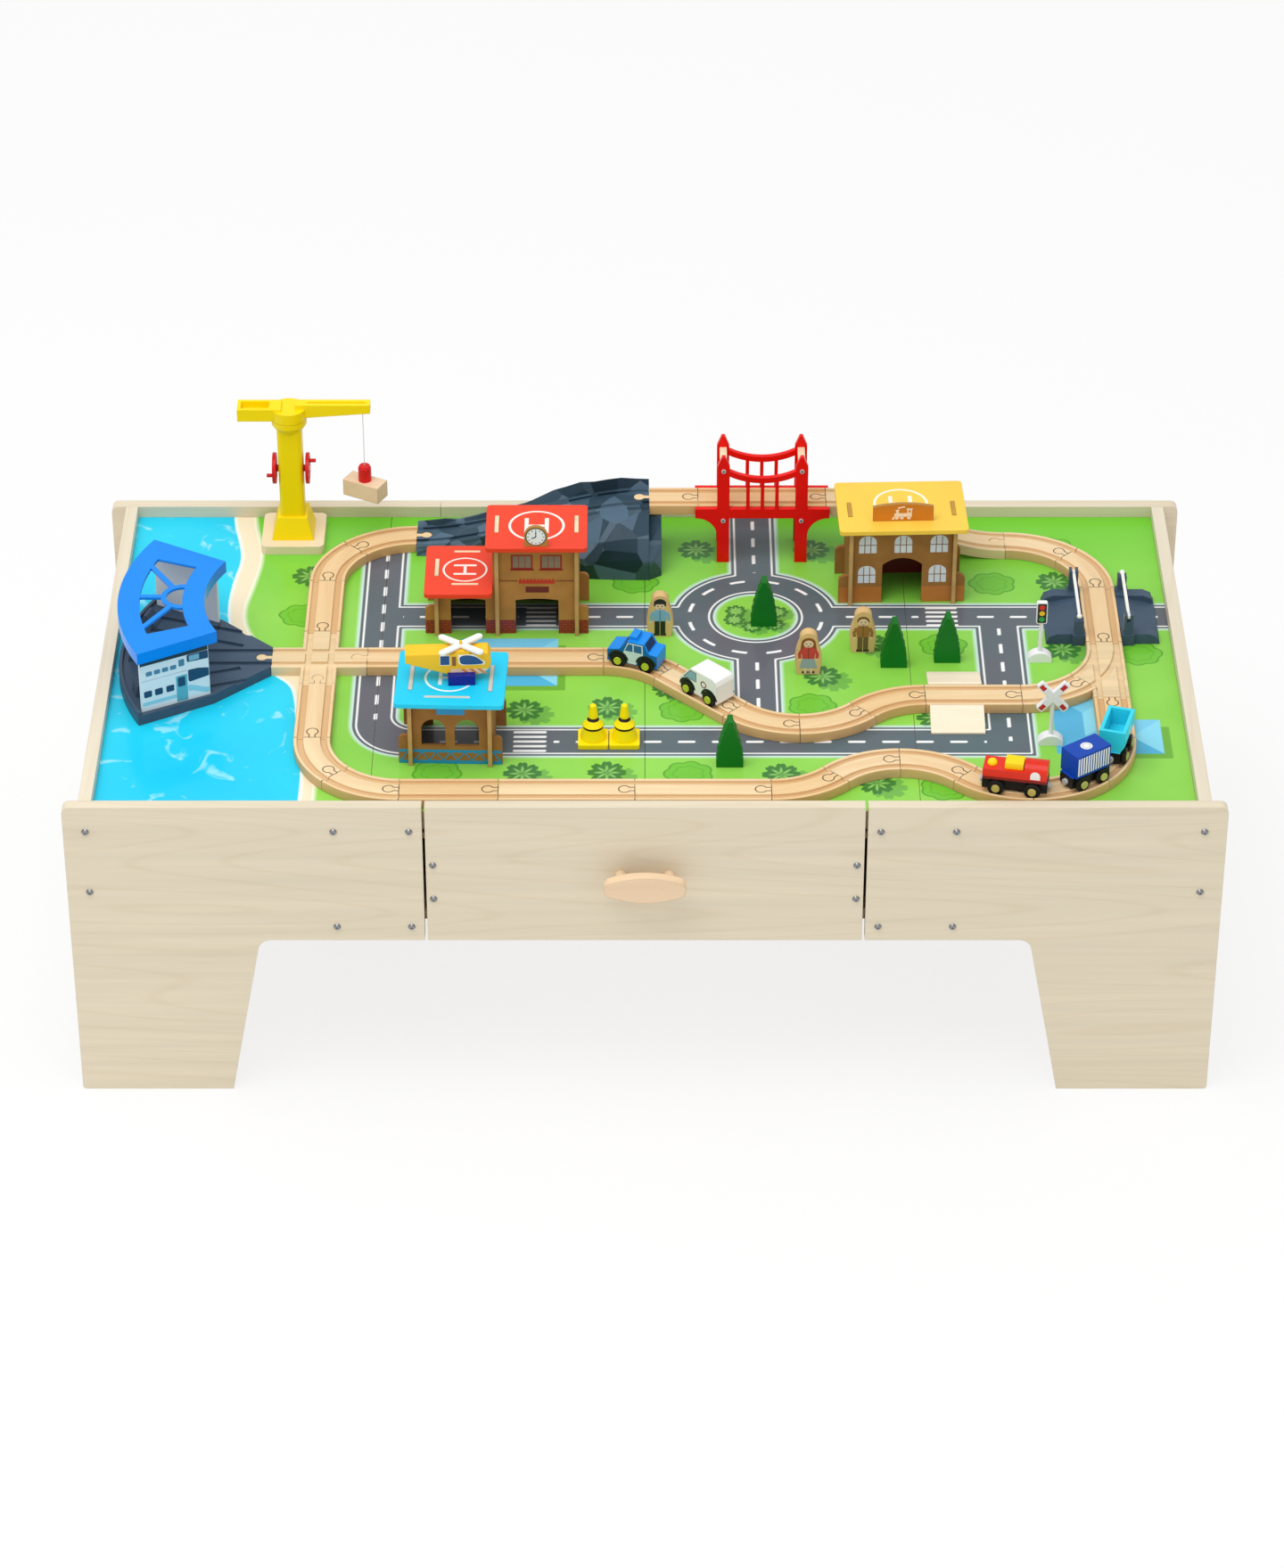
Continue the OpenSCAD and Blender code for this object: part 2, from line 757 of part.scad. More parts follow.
// Sides and back of the drawer, grooved for its bottom
module drawer_box() {
  groove_z = drawer_low_z + bottom_lift;
  color("#E2D6BC") difference() {
    union() {
      both_sides() translate([drawer_side_x - drawer_side_t / 2, -inner_d / 2, drawer_low_z])
        cube([drawer_side_t, drawer_box_l, drawer_side_h]);
      translate([-drawer_side_x, drawer_back_y - drawer_side_t, groove_z + drawer_bottom_t])
        cube([2 * drawer_side_x, drawer_side_t, drawer_side_h - bottom_lift - drawer_bottom_t]);
    }
    both_sides() translate([drawer_side_x - drawer_side_t / 2 - 1, -inner_d / 2 - 1, groove_z])
      cube([bottom_groove + 1, drawer_box_l + 2, drawer_bottom_t]);
    drawer_holes();
  }
}

module drawer_bottom() {
  half_w = drawer_side_x - drawer_side_t / 2 + bottom_groove - slide_gap;
  color("#CDBF9C") translate([-half_w, -inner_d / 2, drawer_low_z + bottom_lift])
    cube([2 * half_w, drawer_box_l, drawer_bottom_t]);
}

// Oval outline from four arcs that meet smoothly
module oval(w, h, tip_r) {
  tip_x = w / 2 - tip_r;
  side_r = (tip_x * tip_x + h * h / 4 - tip_r * tip_r) / (h - 2 * tip_r);
  meet_x = tip_x * side_r / (side_r - tip_r);
  intersection() {
    translate([0, h / 2 - side_r]) circle(side_r, $fn = 180);
    translate([0, side_r - h / 2]) circle(side_r, $fn = 180);
    square([2 * meet_x, h], center = true);
  }
  for (s = [-1, 1]) translate([s * tip_x, 0]) circle(tip_r);
}

module drawer_handle() {
  color("#EBC9A2") difference() {
    translate([0, -table_d / 2, handle_z]) {
      translate([0, -handle_proud, 0]) stood(handle_t) oval(handle_w, handle_h, handle_tip_r);
      for (s = [-1, 1]) translate([s * post_span / 2, -post_l / 2 - 0.5, 0]) rod_y(post_r, post_l + 1);
    }
    drawer_holes();
    translate([-handle_w, -table_d / 2, handle_z - handle_h]) cube([2 * handle_w, 2, 2 * handle_h]);
  }
}

module drawer_screws() {
  color("silver") {
    at_drawer_screws() screw(screw_shank_l);
    at_handle_screws() screw(handle_screw_l);
  }
}

// Track

// Round knob on a neck at the end of a track, along +x
module peg() {
  translate([-1, -peg_neck / 2, 0]) cube([peg_reach + 1, peg_neck, track_t - track_edge / 2]);
  translate([peg_reach, 0, 0]) cylinder(r = peg_r, h = track_t - track_edge / 2);
}

// Keyhole at the start of a track
module peg_hole(depth = track_t) {
  slot = peg_neck + 2 * peg_gap;
  translate([-1, -slot / 2, track_t - depth - 1]) cube([peg_reach + 1, slot, depth + 2]);
  translate([peg_reach - joint_gap / 2, 0, track_t - depth - 1]) cylinder(r = peg_r + peg_gap, h = depth + 2);
}

// Section carried straight along +x
module straight_bar(section, length) {
  translate([joint_gap / 2, 0, 0]) rotate([90, 0, 90]) linear_extrude(length - joint_gap) polygon(section);
}

// Section carried round a curve to the left, or to the right with s = -1
module curved_bar(section, s, sweep = half_turn) {
  translate([0, s * curve_r, 0]) rotate([0, 0, (s > 0 ? -90 : 90 - sweep) + seam_turn])
    rotate_extrude(angle = sweep - 2 * seam_turn, $fn = 180)
      polygon([for (q = section) [q[0] + curve_r, q[1]]]);
}

module track_straight(length) {
  difference() {
    straight_bar(track_section, length);
    peg_hole();
  }
  translate([length - joint_gap / 2, 0, 0]) peg();
}

module track_curve(s) {
  end = bend([0, 0, 0], s);
  difference() {
    curved_bar(track_section, s);
    peg_hole();
  }
  translate([end[0], end[1], 0]) rotate([0, 0, end[2]]) translate([-joint_gap / 2, 0, 0]) peg();
}

module curved_tracks() {
  color("#EBCFA6") for (q = flat_routes) {
    if (q[1][1] != 0) on_board(q[0]) track_curve(q[1][1]);
  }
}

module straight_tracks() {
  color("#EBCFA6") {
    for (q = flat_routes) {
      if (q[1][1] == 0) on_board(q[0]) track_straight(q[1][0]);
    }
    for (q = deck_route) on_board(q[0], ramp_rise) track_straight(q[1][0]);
  }
}

// The two wheel grooves as cutters along +x
module straight_grooves(length) {
  for (s = [-1, 1]) translate([-1, s * gauge / 2 - groove_w / 2, track_t - groove_d])
    cube([length + 2, groove_w, groove_d + 1]);
}

// The grooves as cutters round a left curve, a little shallower
module curved_grooves(sweep) {
  depth = groove_d - branch_rise;
  translate([0, curve_r, 0]) rotate([0, 0, -90]) rotate_extrude(angle = sweep, $fn = 180)
    for (k = [-1, 1]) translate([curve_r + k * gauge / 2 - groove_w / 2, track_t - depth])
      square([groove_w, groove_d + 1]);
}

module crossing() {
  difference() {
    crossing_arms() straight_bar(blank_section, short_l);
    crossing_arms() {
      straight_grooves(short_l);
      peg_hole();
    }
  }
  crossing_arms() translate([short_l - joint_gap / 2, 0, 0]) peg();
}

// The two ways through the crossing, along -x and along +y
module crossing_arms() {
  on_board([left_x + short_l / 2, cross_y, 180]) children();
  on_board([left_x, cross_y - short_l / 2, 90]) children();
}

// The branch ends inside the main way, its faces a little inside too
branch_sweep = half_turn - 6;
branch_rise = 0.1;
branch_section = [for (p = blank_section) [p[0], branch_rise + p[1] * (1 - 2 * branch_rise / track_t)]];
module switch() {
  main = [right_x, switch_y, 90];
  difference() {
    union() {
      on_board(main) straight_bar(blank_section, switch_l);
      on_board(branch_pose) curved_bar(branch_section, 1, branch_sweep);
    }
    on_board(main) straight_grooves(switch_l);
    on_board(branch_pose) {
      curved_grooves(branch_sweep);
      translate([-track_w / 2, -track_w / 2 - joint_gap, -1])
        cube([track_w / 2 + joint_gap / 2, track_w + 2 * joint_gap, track_t + 2]);
    }
  }
  on_board(main) translate([switch_l - joint_gap / 2, 0, 0]) peg();
  for (p = [main, branch_pose]) on_board(p) rotate([0, 0, 180]) translate([-joint_gap / 2, 0, 0]) peg();
}

module junction_tracks() {
  color("#EBCFA6") {
    crossing();
    switch();
  }
}

// Climbs from the board to the deck along -x on two arcs
module ascending_track() {
  seam = joint_gap / 2;
  color("#EBCFA6") on_board([ramp_x, bridge_y]) {
    difference() {
      union() {
        translate([0, 0, ramp_r]) rotate([0, 90, 0]) rotate([-90, 0, 0])
          rotate_extrude(angle = ramp_turn, $fn = 180)
            polygon([for (q = track_section) [ramp_r - q[1], q[0]]]);
        translate([-ramp_l, 0, ramp_rise - ramp_r]) rotate([0, -90, 0]) rotate([-90, 0, 0])
          rotate_extrude(angle = ramp_turn, $fn = 180)
            polygon([for (q = track_section) [ramp_r + q[1], q[0]]]);
      }
      translate([-seam, -track_w, -1]) cube([2 * seam, 2 * track_w, 2 * track_t]);
      translate([-ramp_l - seam, -track_w, ramp_rise - 1]) cube([2 * seam, 2 * track_w, 2 * track_t]);
      rotate([0, 0, 180]) peg_hole();
    }
    translate([-ramp_l + seam, 0, ramp_rise]) rotate([0, 0, 180]) peg();
  }
}

// Wooden wedges that lead a road over the track
module road_ramps() {
  wedge = [[0, 0], [road_ramp_d, 0], [road_ramp_d, road_ramp_lip], [4, track_t], [0, track_t]];
  color("#EBCFA6") for (s = [-1, 1]) {
    translate([road_pose[0] + 4, road_pose[1] + s * (track_w / 2 + joint_gap), board_z]) rotate([90, 0, 90])
      linear_extrude(road_ramp_w) polygon([for (q = wedge) [s * q[0], q[1]]]);
  }
}

// Mountain: one closed skin over stations along its track
stations = 18;
toe_stations = 2;
function ease(u) = u * u * (3 - 2 * u);
function jitter(i, j, size) = size * (rands(-1, 1, 1, 37 * i + 11 * j + 5)[0]);
function rock_share(u) = u < 0.5 ? 0.15 * ease(2 * u) : 0.15 + 0.85 * ease(min(1, (u - 0.5) / 0.22));
function mountain_section(i) =
  let (on_track = i < stations)
  let (u = min(1, i / (stations - 1)))
  let (top = on_track ? track_t + ramp_rise * ease(u) : ramp_rise - 3 - 2 * (i - stations))
  let (mid = back_y + (bridge_y - back_y) * ease(u))
  let (end_in = on_track ? 0 : 10 * (i - stations))
  let (front = track_w / 2 + 7 + rock_front * rock_share(u) - end_in)
  let (deep = on_track ? groove_d : 0)
  let (crag = max(0, sin(180 * (u - 0.45) / 0.64)))
  let (ridge = on_track ? rock_ridge * (0.6 + 0.4 * ease(u) + crag) + jitter(i, 1, 2.5) : 0)
  let (f = i == 0 ? 0 : 1)
  [
    [mid - front, 0],
    [mid - front + 1 + f * (2 + jitter(i, 2, 2.5)), top * 0.34],
    [mid - front * 0.86 + f * jitter(i, 3, 3), top * 0.68],
    [mid - track_w / 2 - 3, top - 3],
    [mid - track_w / 2 - 1, top],
    [mid - groove_out, top],
    [mid - groove_out, top - deep],
    [mid - groove_in, top - deep],
    [mid - groove_in, top],
    [mid + groove_in, top],
    [mid + groove_in, top - deep],
    [mid + groove_out, top - deep],
    [mid + groove_out, top],
    [mid + track_w / 2, top],
    [mid + track_w / 2 + 2, top + ridge],
    [mid + track_w / 2 + 6 - end_in / 2, top + ridge * 0.7],
    [mid + track_w / 2 + 11 - end_in / 2, 0]
  ];
function station_x(i) = i < stations
  ? -mountain_l + joint_gap / 2 + (mountain_l - joint_gap) * i / (stations - 1)
  : rock_toe * (i - stations) / (toe_stations - 1);

module mountain() {
  rows = stations + toe_stations;
  ring = len(mountain_section(0));
  points = [for (i = [0:rows - 1]) for (q = mountain_section(i)) [station_x(i), q[0], q[1]]];
  skin = [for (i = [0:rows - 2]) for (j = [0:ring - 1])
    let (a = i * ring + j)
    let (b = i * ring + (j + 1) % ring)
    for (t = [[a, b, b + ring], [a, b + ring, a + ring]]) t];
  low_end = [[for (j = [ring - 1:-1:0]) j]];
  high_end = [[for (j = [0:ring - 1]) (rows - 1) * ring + j]];
  color("#3F4F63") {
    difference() {
      on_board([mountain_x, 0]) polyhedron(points, concat(skin, low_end, high_end));
      on_board([mountain_x, bridge_y, 180], ramp_rise) peg_hole();
      on_board([mountain_x - mountain_l, back_y]) peg_hole();
    }
  }
}

// One flat side of the bridge in x and z, z from the board
module bridge_outline() {
  tower_x = tower_span / 2;
  top = ramp_rise + tower_rise;
  point_h = tower_w * 0.9;
  beam_z = ramp_rise + track_t - 1 - beam_h;
  bracket = min(24, (beam_l - tower_span - tower_w) / 2);
  half_span = tower_x - tower_w / 2;
  hang_r = (half_span * half_span + rail_sag * rail_sag) / 2 / rail_sag;
  rail_z = ramp_rise + rail_rise;
  for (s = [-1, 1]) {
    translate([s * tower_x, 0]) polygon([
      [-tower_w / 2, 0], [tower_w / 2, 0], [tower_w / 2, top - point_h], [tower_w / 8, top],
      [-tower_w / 8, top], [-tower_w / 2, top - point_h]
    ]);
    difference() {
      translate([s * (tower_x + tower_w / 2 + bracket / 2), beam_z - bracket / 2 + 0.5])
        square([bracket, bracket + 1], center = true);
      translate([s * (tower_x + tower_w / 2 + bracket), beam_z - bracket]) circle(bracket, $fn = 96);
    }
  }
  translate([0, beam_z + beam_h / 2]) square([beam_l, beam_h], center = true);
  intersection() {
    translate([0, rail_z - rail_sag + hang_r]) difference() {
      circle(hang_r + rail_h / 2, $fn = 180);
      circle(hang_r - rail_h / 2, $fn = 180);
    }
    translate([-half_span, rail_z - rail_sag - rail_h]) square([2 * half_span, rail_sag + 2 * rail_h]);
  }
  for (x = [-half_span * 0.44, 0, half_span * 0.44]) {
    translate([x - bar_w / 2, beam_z + beam_h - 1]) square([bar_w, rail_z - rail_sag - beam_z - beam_h + 1]);
  }
}

bridge_half = track_w / 2 + bridge_gap;
bridge_bar_w = 8;
bolt_r = 2.6;
bolt_h = 1.2;
bridge_bar_z = [ramp_rise - bridge_bar_w, ramp_rise + tower_rise - tower_w - bridge_bar_w];

module bridge_sides() {
  color("#D80D10") on_board([bridge_x, bridge_y]) for (y = [-bridge_half - bridge_t, bridge_half]) {
    translate([0, y, 0]) stood(bridge_t) bridge_outline();
  }
}

// Bars across the bridge under the deck and at the tower tops, with bolt heads
module bridge_bars() {
  bolt_y = bridge_half + bridge_t + bolt_h / 2;
  half = tower_span / 2;
  color("#EBCFA6") on_board([bridge_x, bridge_y]) for (x = [-half, half], z = bridge_bar_z) {
    translate([x, 0, z]) block(bridge_bar_w, 2 * bridge_half, bridge_bar_w);
    for (y = [-bolt_y, bolt_y]) translate([x, y, z + bridge_bar_w / 2]) rod_y(bolt_r, bolt_h);
  }
}

// Buildings

// Long wall between cross walls at x0 and x1, with a low wing past each
module long_wall(x0, x1, h) {
  edge = wall_t / 2 + slot_gap;
  translate([x0 - edge, 0]) square([x1 - x0 + 2 * edge, h]);
  difference() {
    translate([x0 - wing_w, 0]) square([x1 - x0 + 2 * wing_w, wing_h]);
    translate([x0 - wing_w, wing_h]) rotate(-90) corner_waste(wing_w * 0.5);
    translate([x1 + wing_w, wing_h]) rotate(180) corner_waste(wing_w * 0.5);
  }
}

// Slot for a crossing wall in the upper half of a wall of height h
module wall_slot(x, h) {
  translate([x - wall_t / 2 - slot_gap, h / 2]) square([wall_t + 2 * slot_gap, h]);
}

// Cross wall: slotted over the long walls, with a tab through the roof
module cross_wall(x, depth, h, tab_l) {
  lap = 6;
  translate([x - wall_t / 2, -lap, 0]) rotate([90, 0, 90]) linear_extrude(wall_t) difference() {
    union() {
      square([depth + 2 * lap + 2 * wall_t, h]);
      translate([lap + wall_t + depth / 2 - tab_l / 2, h - 1]) square([tab_l, roof_t + tab_rise + 1]);
    }
    for (y = [lap, lap + wall_t + depth]) {
      translate([y - slot_gap, -1]) square([wall_t + 2 * slot_gap, h / 2 + 1]);
    }
  }
}

// Flat roof with slots, each [x, y, length], for the tabs of the cross walls
module roof_board(x0, x1, y0, y1, z, slots) {
  translate([0, 0, z]) linear_extrude(roof_t) difference() {
    translate([(x0 + x1) / 2, (y0 + y1) / 2]) round_rect(x1 - x0, y1 - y0, roof_corner);
    for (s = slots) translate([s[0], s[1]])
      square([wall_t + 2 * slot_gap, s[2] + 2 * slot_gap], center = true);
  }
}

// Doorway with a round head in x and z
module arch(x, w, h, rise) {
  r = (w * w / 4 + rise * rise) / 2 / rise;
  translate([x - w / 2, -1]) square([w, h - rise + 1]);
  intersection() {
    translate([x, h - r]) circle(r, $fn = 96);
    translate([x - w / 2, h - rise - 0.01]) square([w, rise + 1]);
  }
}

// Castle, origin at the front foot of its middle wall
castle_xs = [-castle_low_w, 0, castle_high_w];
castle_tab = 35;
castle_doors = [[-castle_low_w * 0.48, 39], [castle_high_w / 2, 48]];
module castle_walls() {
  color("#9A6B33") on_board(castle_at) {
    for (y = [0, wall_t + castle_d]) translate([0, y, 0]) stood(wall_t) difference() {
      union() {
        long_wall(castle_xs[0], castle_xs[2], castle_low_h);
        translate([-wall_t, 0]) square([castle_high_w + wall_t, castle_high_h]);
      }
      if (y == 0) for (d = castle_doors) arch(d[0], d[1], castle_door_h, 2);
      wall_slot(castle_xs[0], castle_low_h);
      wall_slot(castle_xs[1], castle_high_h);
      wall_slot(castle_xs[2], castle_high_h);
    }
    cross_wall(castle_xs[0], castle_d, castle_low_h, castle_tab);
    cross_wall(castle_xs[1], castle_d, castle_high_h, castle_tab);
    cross_wall(castle_xs[2], castle_d, castle_high_h, castle_tab);
  }
}

castle_eave = 12;
castle_front_eave = 15;
module castle_roofs() {
  back = castle_d + 2 * wall_t + 5;
  mid = wall_t + castle_d / 2;
  low_edge = -wall_t - 2 * slot_gap;
  color("#F5452A") on_board(castle_at) {
    roof_board(castle_xs[0] - castle_eave - 1, low_edge, -castle_front_eave - 5, back + 5, castle_low_h,
      [[castle_xs[0], mid, castle_tab]]);
    roof_board(-castle_eave, castle_xs[2] + castle_eave, -castle_front_eave, back, castle_high_h,
      [[castle_xs[1], mid, castle_tab], [castle_xs[2], mid, castle_tab]]);
  }
}

// Station, origin at the middle of its front foot
station_tab = 30;
station_pose = [station_at[0], station_at[1] - station_d / 2 - wall_t, station_turn];
station_door_w = 45;
module station_walls() {
  color("#9A6B33") on_board(station_pose) {
    for (y = [0, wall_t + station_d]) translate([0, y, 0]) stood(wall_t) difference() {
      long_wall(-station_w / 2, station_w / 2, station_h);
      if (y == 0) arch(0, station_door_w, station_door_h, 9);
      for (x = [-station_w / 2, station_w / 2]) wall_slot(x, station_h);
    }
    for (x = [-station_w / 2, station_w / 2]) cross_wall(x, station_d, station_h, station_tab);
  }
}

station_front_eave = 14;
station_back_eave = 26;
station_eave = 14;
module station_roof() {
  x = station_w / 2 + station_eave;
  mid = wall_t + station_d / 2;
  color("#FCD75B") on_board(station_pose)
    roof_board(-x, x, -station_front_eave, station_d + 2 * wall_t + station_back_eave, station_h,
      [[-station_w / 2, mid, station_tab], [station_w / 2, mid, station_tab]]);
}

// Board with a flat foot and a bowed top, in x and z
module arch_board(w, h, rise) {
  r = (w * w / 4 + rise * rise) / 2 / rise;
  translate([-w / 2, 0]) square([w, h - rise]);
  intersection() {
    translate([0, h - r]) circle(r, $fn = 180);
    translate([-w / 2, h - rise - 0.01]) square([w, rise + 1]);
  }
}

// Clock board on the castle's roof and low sign on the station's
sign_board_w = 68;
sign_board_h = 22;
module roof_signs() {
  color("#C98A2E") {
    on_board(castle_at, castle_high_h + roof_t) translate([castle_high_w / 2, -castle_front_eave + 4, 0])
        stood(wall_t) {
        translate([0, clock_r]) circle(clock_r);
        translate([-clock_r, 0]) square([2 * clock_r, clock_r]);
      }
    on_board(station_pose, station_h + roof_t) translate([0, 8, 0])
      stood(wall_t) arch_board(sign_board_w, sign_board_h, 4);
  }
}

// Kiosk, origin at the middle of its front foot
kiosk_tab = 50;
kiosk_pose = [kiosk_at[0], kiosk_at[1] - kiosk_d / 2 - wall_t, kiosk_turn];
kiosk_window_w = 26;
kiosk_window_h = 33;
kiosk_sill = 24;
kiosk_door_w = 48;
kiosk_door_h = 50;
kiosk_door_r = 6;
kiosk_window_x = 18;
module kiosk_walls() {
  color("#9A6B33") on_board(kiosk_pose) {
    for (y = [0, wall_t + kiosk_d]) translate([0, y, 0]) stood(wall_t) difference() {
      long_wall(-kiosk_w / 2, kiosk_w / 2, kiosk_h);
      if (y == 0) for (x = [-kiosk_window_x, kiosk_window_x]) {
        translate([0, kiosk_sill]) arch(x, kiosk_window_w, kiosk_window_h, kiosk_window_w / 2);
      }
      if (y > 0) arch(0, kiosk_door_w, kiosk_door_h, kiosk_door_r);
      for (x = [-kiosk_w / 2, kiosk_w / 2]) wall_slot(x, kiosk_h);
    }
    for (x = [-kiosk_w / 2, kiosk_w / 2]) cross_wall(x, kiosk_d, kiosk_h, kiosk_tab);
  }
}

kiosk_front_eave = 14;
kiosk_back_eave = 13;
kiosk_eave = 16;
module kiosk_roof() {
  x = kiosk_w / 2 + kiosk_eave;
  mid = wall_t + kiosk_d / 2;
  color("#1ED0F5") on_board(kiosk_pose)
    roof_board(-x, x, -kiosk_front_eave, kiosk_d + 2 * wall_t + kiosk_back_eave, kiosk_h,
      [[-kiosk_w / 2, mid, kiosk_tab], [kiosk_w / 2, mid, kiosk_tab]]);
}

// Helicopter: a body cut from a board, on a block, nose towards +x
heli_pose = [heli_at[0], heli_at[1], 3];
module helicopter_body() {
  nose_r = heli_body_h * 0.62;
  color("#FFC61A") on_board(heli_pose, heli_z) {
    translate([0, -heli_t / 2, heli_lift]) stood(heli_t) difference() {
      union() {
        translate([heli_l / 2 - nose_r, nose_r]) circle(nose_r, $fn = 96);
        polygon([
          [-heli_l / 2, heli_body_h * 0.62], [heli_l * 0.02, 0], [heli_l / 2 - nose_r, 0],
          [heli_l / 2 - nose_r, heli_body_h], [-heli_l / 2, heli_body_h]
        ]);
        translate([mast_x, heli_body_h]) polygon([[-9, -1], [9, -1], [4, 3], [-4, 3]]);
      }
      translate([-heli_l, heli_body_h + 3]) square([2 * heli_l, heli_l]);
      translate([0, heli_body_h]) translate([mast_x + 9, 0]) square([heli_l, heli_l]);
      translate([0, -heli_l]) square([heli_l, heli_l]);
    }
    translate([mast_x, 0, heli_lift + heli_body_h + 2]) cylinder(r = mast_r, h = mast_h + 1);
    translate([mast_x, -5, 0]) difference() {
      block(29, heli_t + 6, heli_base_h);
      translate([-heli_l, 5 - heli_t / 2 - slot_gap, heli_lift - slot_gap])
        cube([2 * heli_l, heli_t + 2 * slot_gap, heli_l]);
    }
  }
}

module helicopter_rotor() {
  color("white") on_board(heli_pose, rotor_z) translate([mast_x, 0, 1]) difference() {
    union() {
      for (a = [38, 142]) rotate([0, 0, a]) linear_extrude(rotor_t) {
        square([rotor_l - rotor_w, rotor_w], center = true);
        for (s = [-1, 1]) translate([s * (rotor_l - rotor_w) / 2, 0]) circle(rotor_w / 2);
      }
    }
    translate([0, 0, -1]) cylinder(r = mast_r + run_gap, h = rotor_t + 2);
  }
}

// Engine shed: a deck that fans out from the crossing, two walls and a roof shell

// Ring sector round the shed's centre, fanning towards -x
module fan(r0, r1, a) {
  far = r1 * 2;
  intersection() {
    difference() {
      circle(r1, $fn = 240);
      circle(r0, $fn = 240);
    }
    polygon([[0, 0], [-far * cos(a), far * sin(a)], [-far, 0], [-far * cos(a), -far * sin(a)]]);
  }
}

module shed_deck_outline() {
  half_tip = track_w / 2;
  fan(shed_inner_r - 1, shed_outer_r, shed_fan);
  polygon([
    [-shed_tip_r, half_tip], [-shed_tip_r, -half_tip],
    [-shed_inner_r * cos(shed_fan), -shed_inner_r * sin(shed_fan)],
    [-shed_inner_r - 2, 0],
    [-shed_inner_r * cos(shed_fan), shed_inner_r * sin(shed_fan)]
  ]);
}

lane_turn = shed_fan * 0.62;
shed_lanes = [-lane_turn, 0, lane_turn];
stop_r = shed_outer_r - 14;
lane_start = 36;
skirt_turn = 1.2;
wall_turn = shed_fan - skirt_turn - asin((shed_wall_t / 2 + slot_gap) / shed_inner_r);
wall_seat = 3;
shed_wall_l = shed_outer_r - shed_inner_r - 9;
module shed_base() {
  color("#33465A") on_board(shed_at) {
    difference() {
      union() {
        linear_extrude(track_t) translate([-joint_gap / 2, 0]) shed_deck_outline();
        linear_extrude(track_t + shed_rim_h) fan(shed_outer_r - 4, shed_outer_r - 0.5, shed_fan - 0.3);
      }
      for (a = shed_lanes) {
        start = shed_tip_r + (a == 0 ? -2 : lane_start);
        rotate([0, 0, 180 + a]) translate([start, 0, 0]) straight_grooves(stop_r - start - 10);
      }
      translate([-shed_tip_r, 0, 0]) rotate([0, 0, 180]) peg_hole();
      at_shed_walls() translate([-slot_gap, -shed_wall_t / 2 - slot_gap, track_t - wall_seat])
        cube([shed_wall_l + 2 * slot_gap, shed_wall_t + 2 * slot_gap, wall_seat + 1]);
    }
    for (a = shed_lanes) rotate([0, 0, a]) translate([-stop_r, 0, track_t]) buffer_stop();
  }
}

// Where the shed's walls stand, along +x from their inner ends
module at_shed_walls() {
  for (s = [-1, 1]) rotate([0, 0, 180 + s * wall_turn]) translate([shed_inner_r + 2, 0, 0]) children();
}

// Bumper at the end of a lane: a sloping beam on a plate
module buffer_stop() {
  translate([0, -9, 0]) stood(18) polygon([[-4, -1], [13, -1], [13, 1], [3, 14], [-1, 14]]);
}

module shed_walls() {
  color("#DDE9F2") on_board(shed_at, track_t) at_shed_walls()
    translate([0, -shed_wall_t / 2, slot_gap - wall_seat])
    cube([shed_wall_l, shed_wall_t, shed_wall_h + wall_seat - slot_gap]);
}

roof_in_r = shed_inner_r - 8;
roof_out_r = shed_outer_r - 3;
roof_skin = 3;
shed_roof_frame = 24;
shed_hub_r = 24;
shed_spoke_w = 6;
module shed_roof() {
  window_r = roof_in_r + shed_roof_frame;
  low = track_t + shed_wall_h - shed_roof_h + roof_skin + slot_gap;
  color("#0098F0") on_board(shed_at, low) difference() {
    linear_extrude(shed_roof_h) fan(roof_in_r, roof_out_r, shed_fan);
    translate([0, 0, -roof_skin]) linear_extrude(shed_roof_h)
      fan(roof_in_r + roof_skin, roof_out_r - roof_skin, shed_fan - skirt_turn);
    linear_extrude(2 * shed_roof_h) difference() {
      fan(window_r, roof_out_r - shed_roof_frame, shed_fan - 8.5);
      translate([-window_r, 0]) {
        difference() {
          circle(shed_hub_r);
          circle(shed_hub_r - shed_spoke_w);
        }
        for (a = [-58, 0, 58]) rotate(180 + a) translate([shed_hub_r - 1, -shed_spoke_w / 2])
          square([4 * shed_hub_r, shed_spoke_w]);
      }
    }
  }
}

// Crane

module crane_tower() {
  foot = crane_foot_w / 2;
  half = crane_tower_w / 2;
  collar_h = 16;
  color("#FFD400") on_board(crane_at) {
    difference() {
      union() {
        translate([0, 0, crane_base_t]) {
          taper(foot, half + 3, crane_foot_h);
          translate([0, 0, crane_foot_h - 1]) linear_extrude(crane_tower_h - crane_base_t - crane_foot_h - 7)
            round_rect(crane_tower_w, crane_tower_w, 5);
        }
        translate([0, 0, crane_tower_h - collar_h]) rotate_extrude() polygon([
          [0, 0], [half, 0], [crane_collar_r, collar_h * 0.6], [crane_collar_r, collar_h], [0, collar_h]
        ]);
        translate([0, 0, crane_tower_h - 1]) cylinder(r = pivot_r, h = jib_disc_h - 2);
      }
      translate([0, 0, winch_z]) rod_x(winch_r + run_gap, 2 * crane_tower_w);
    }
    linear_extrude(crane_base_t) round_rect(crane_base_w, crane_base_d, 7);
  }
}

// Square foot that tapers upward: what two crossed wedges share
module taper(low, high, h) {
  wedge = [[-low, 0], [low, 0], [high, h], [-high, h]];
  intersection() {
    rotate([90, 0, 0]) linear_extrude(2 * low, center = true) polygon(wedge);
    rotate([90, 0, 90]) linear_extrude(2 * low, center = true) polygon(wedge);
  }
}

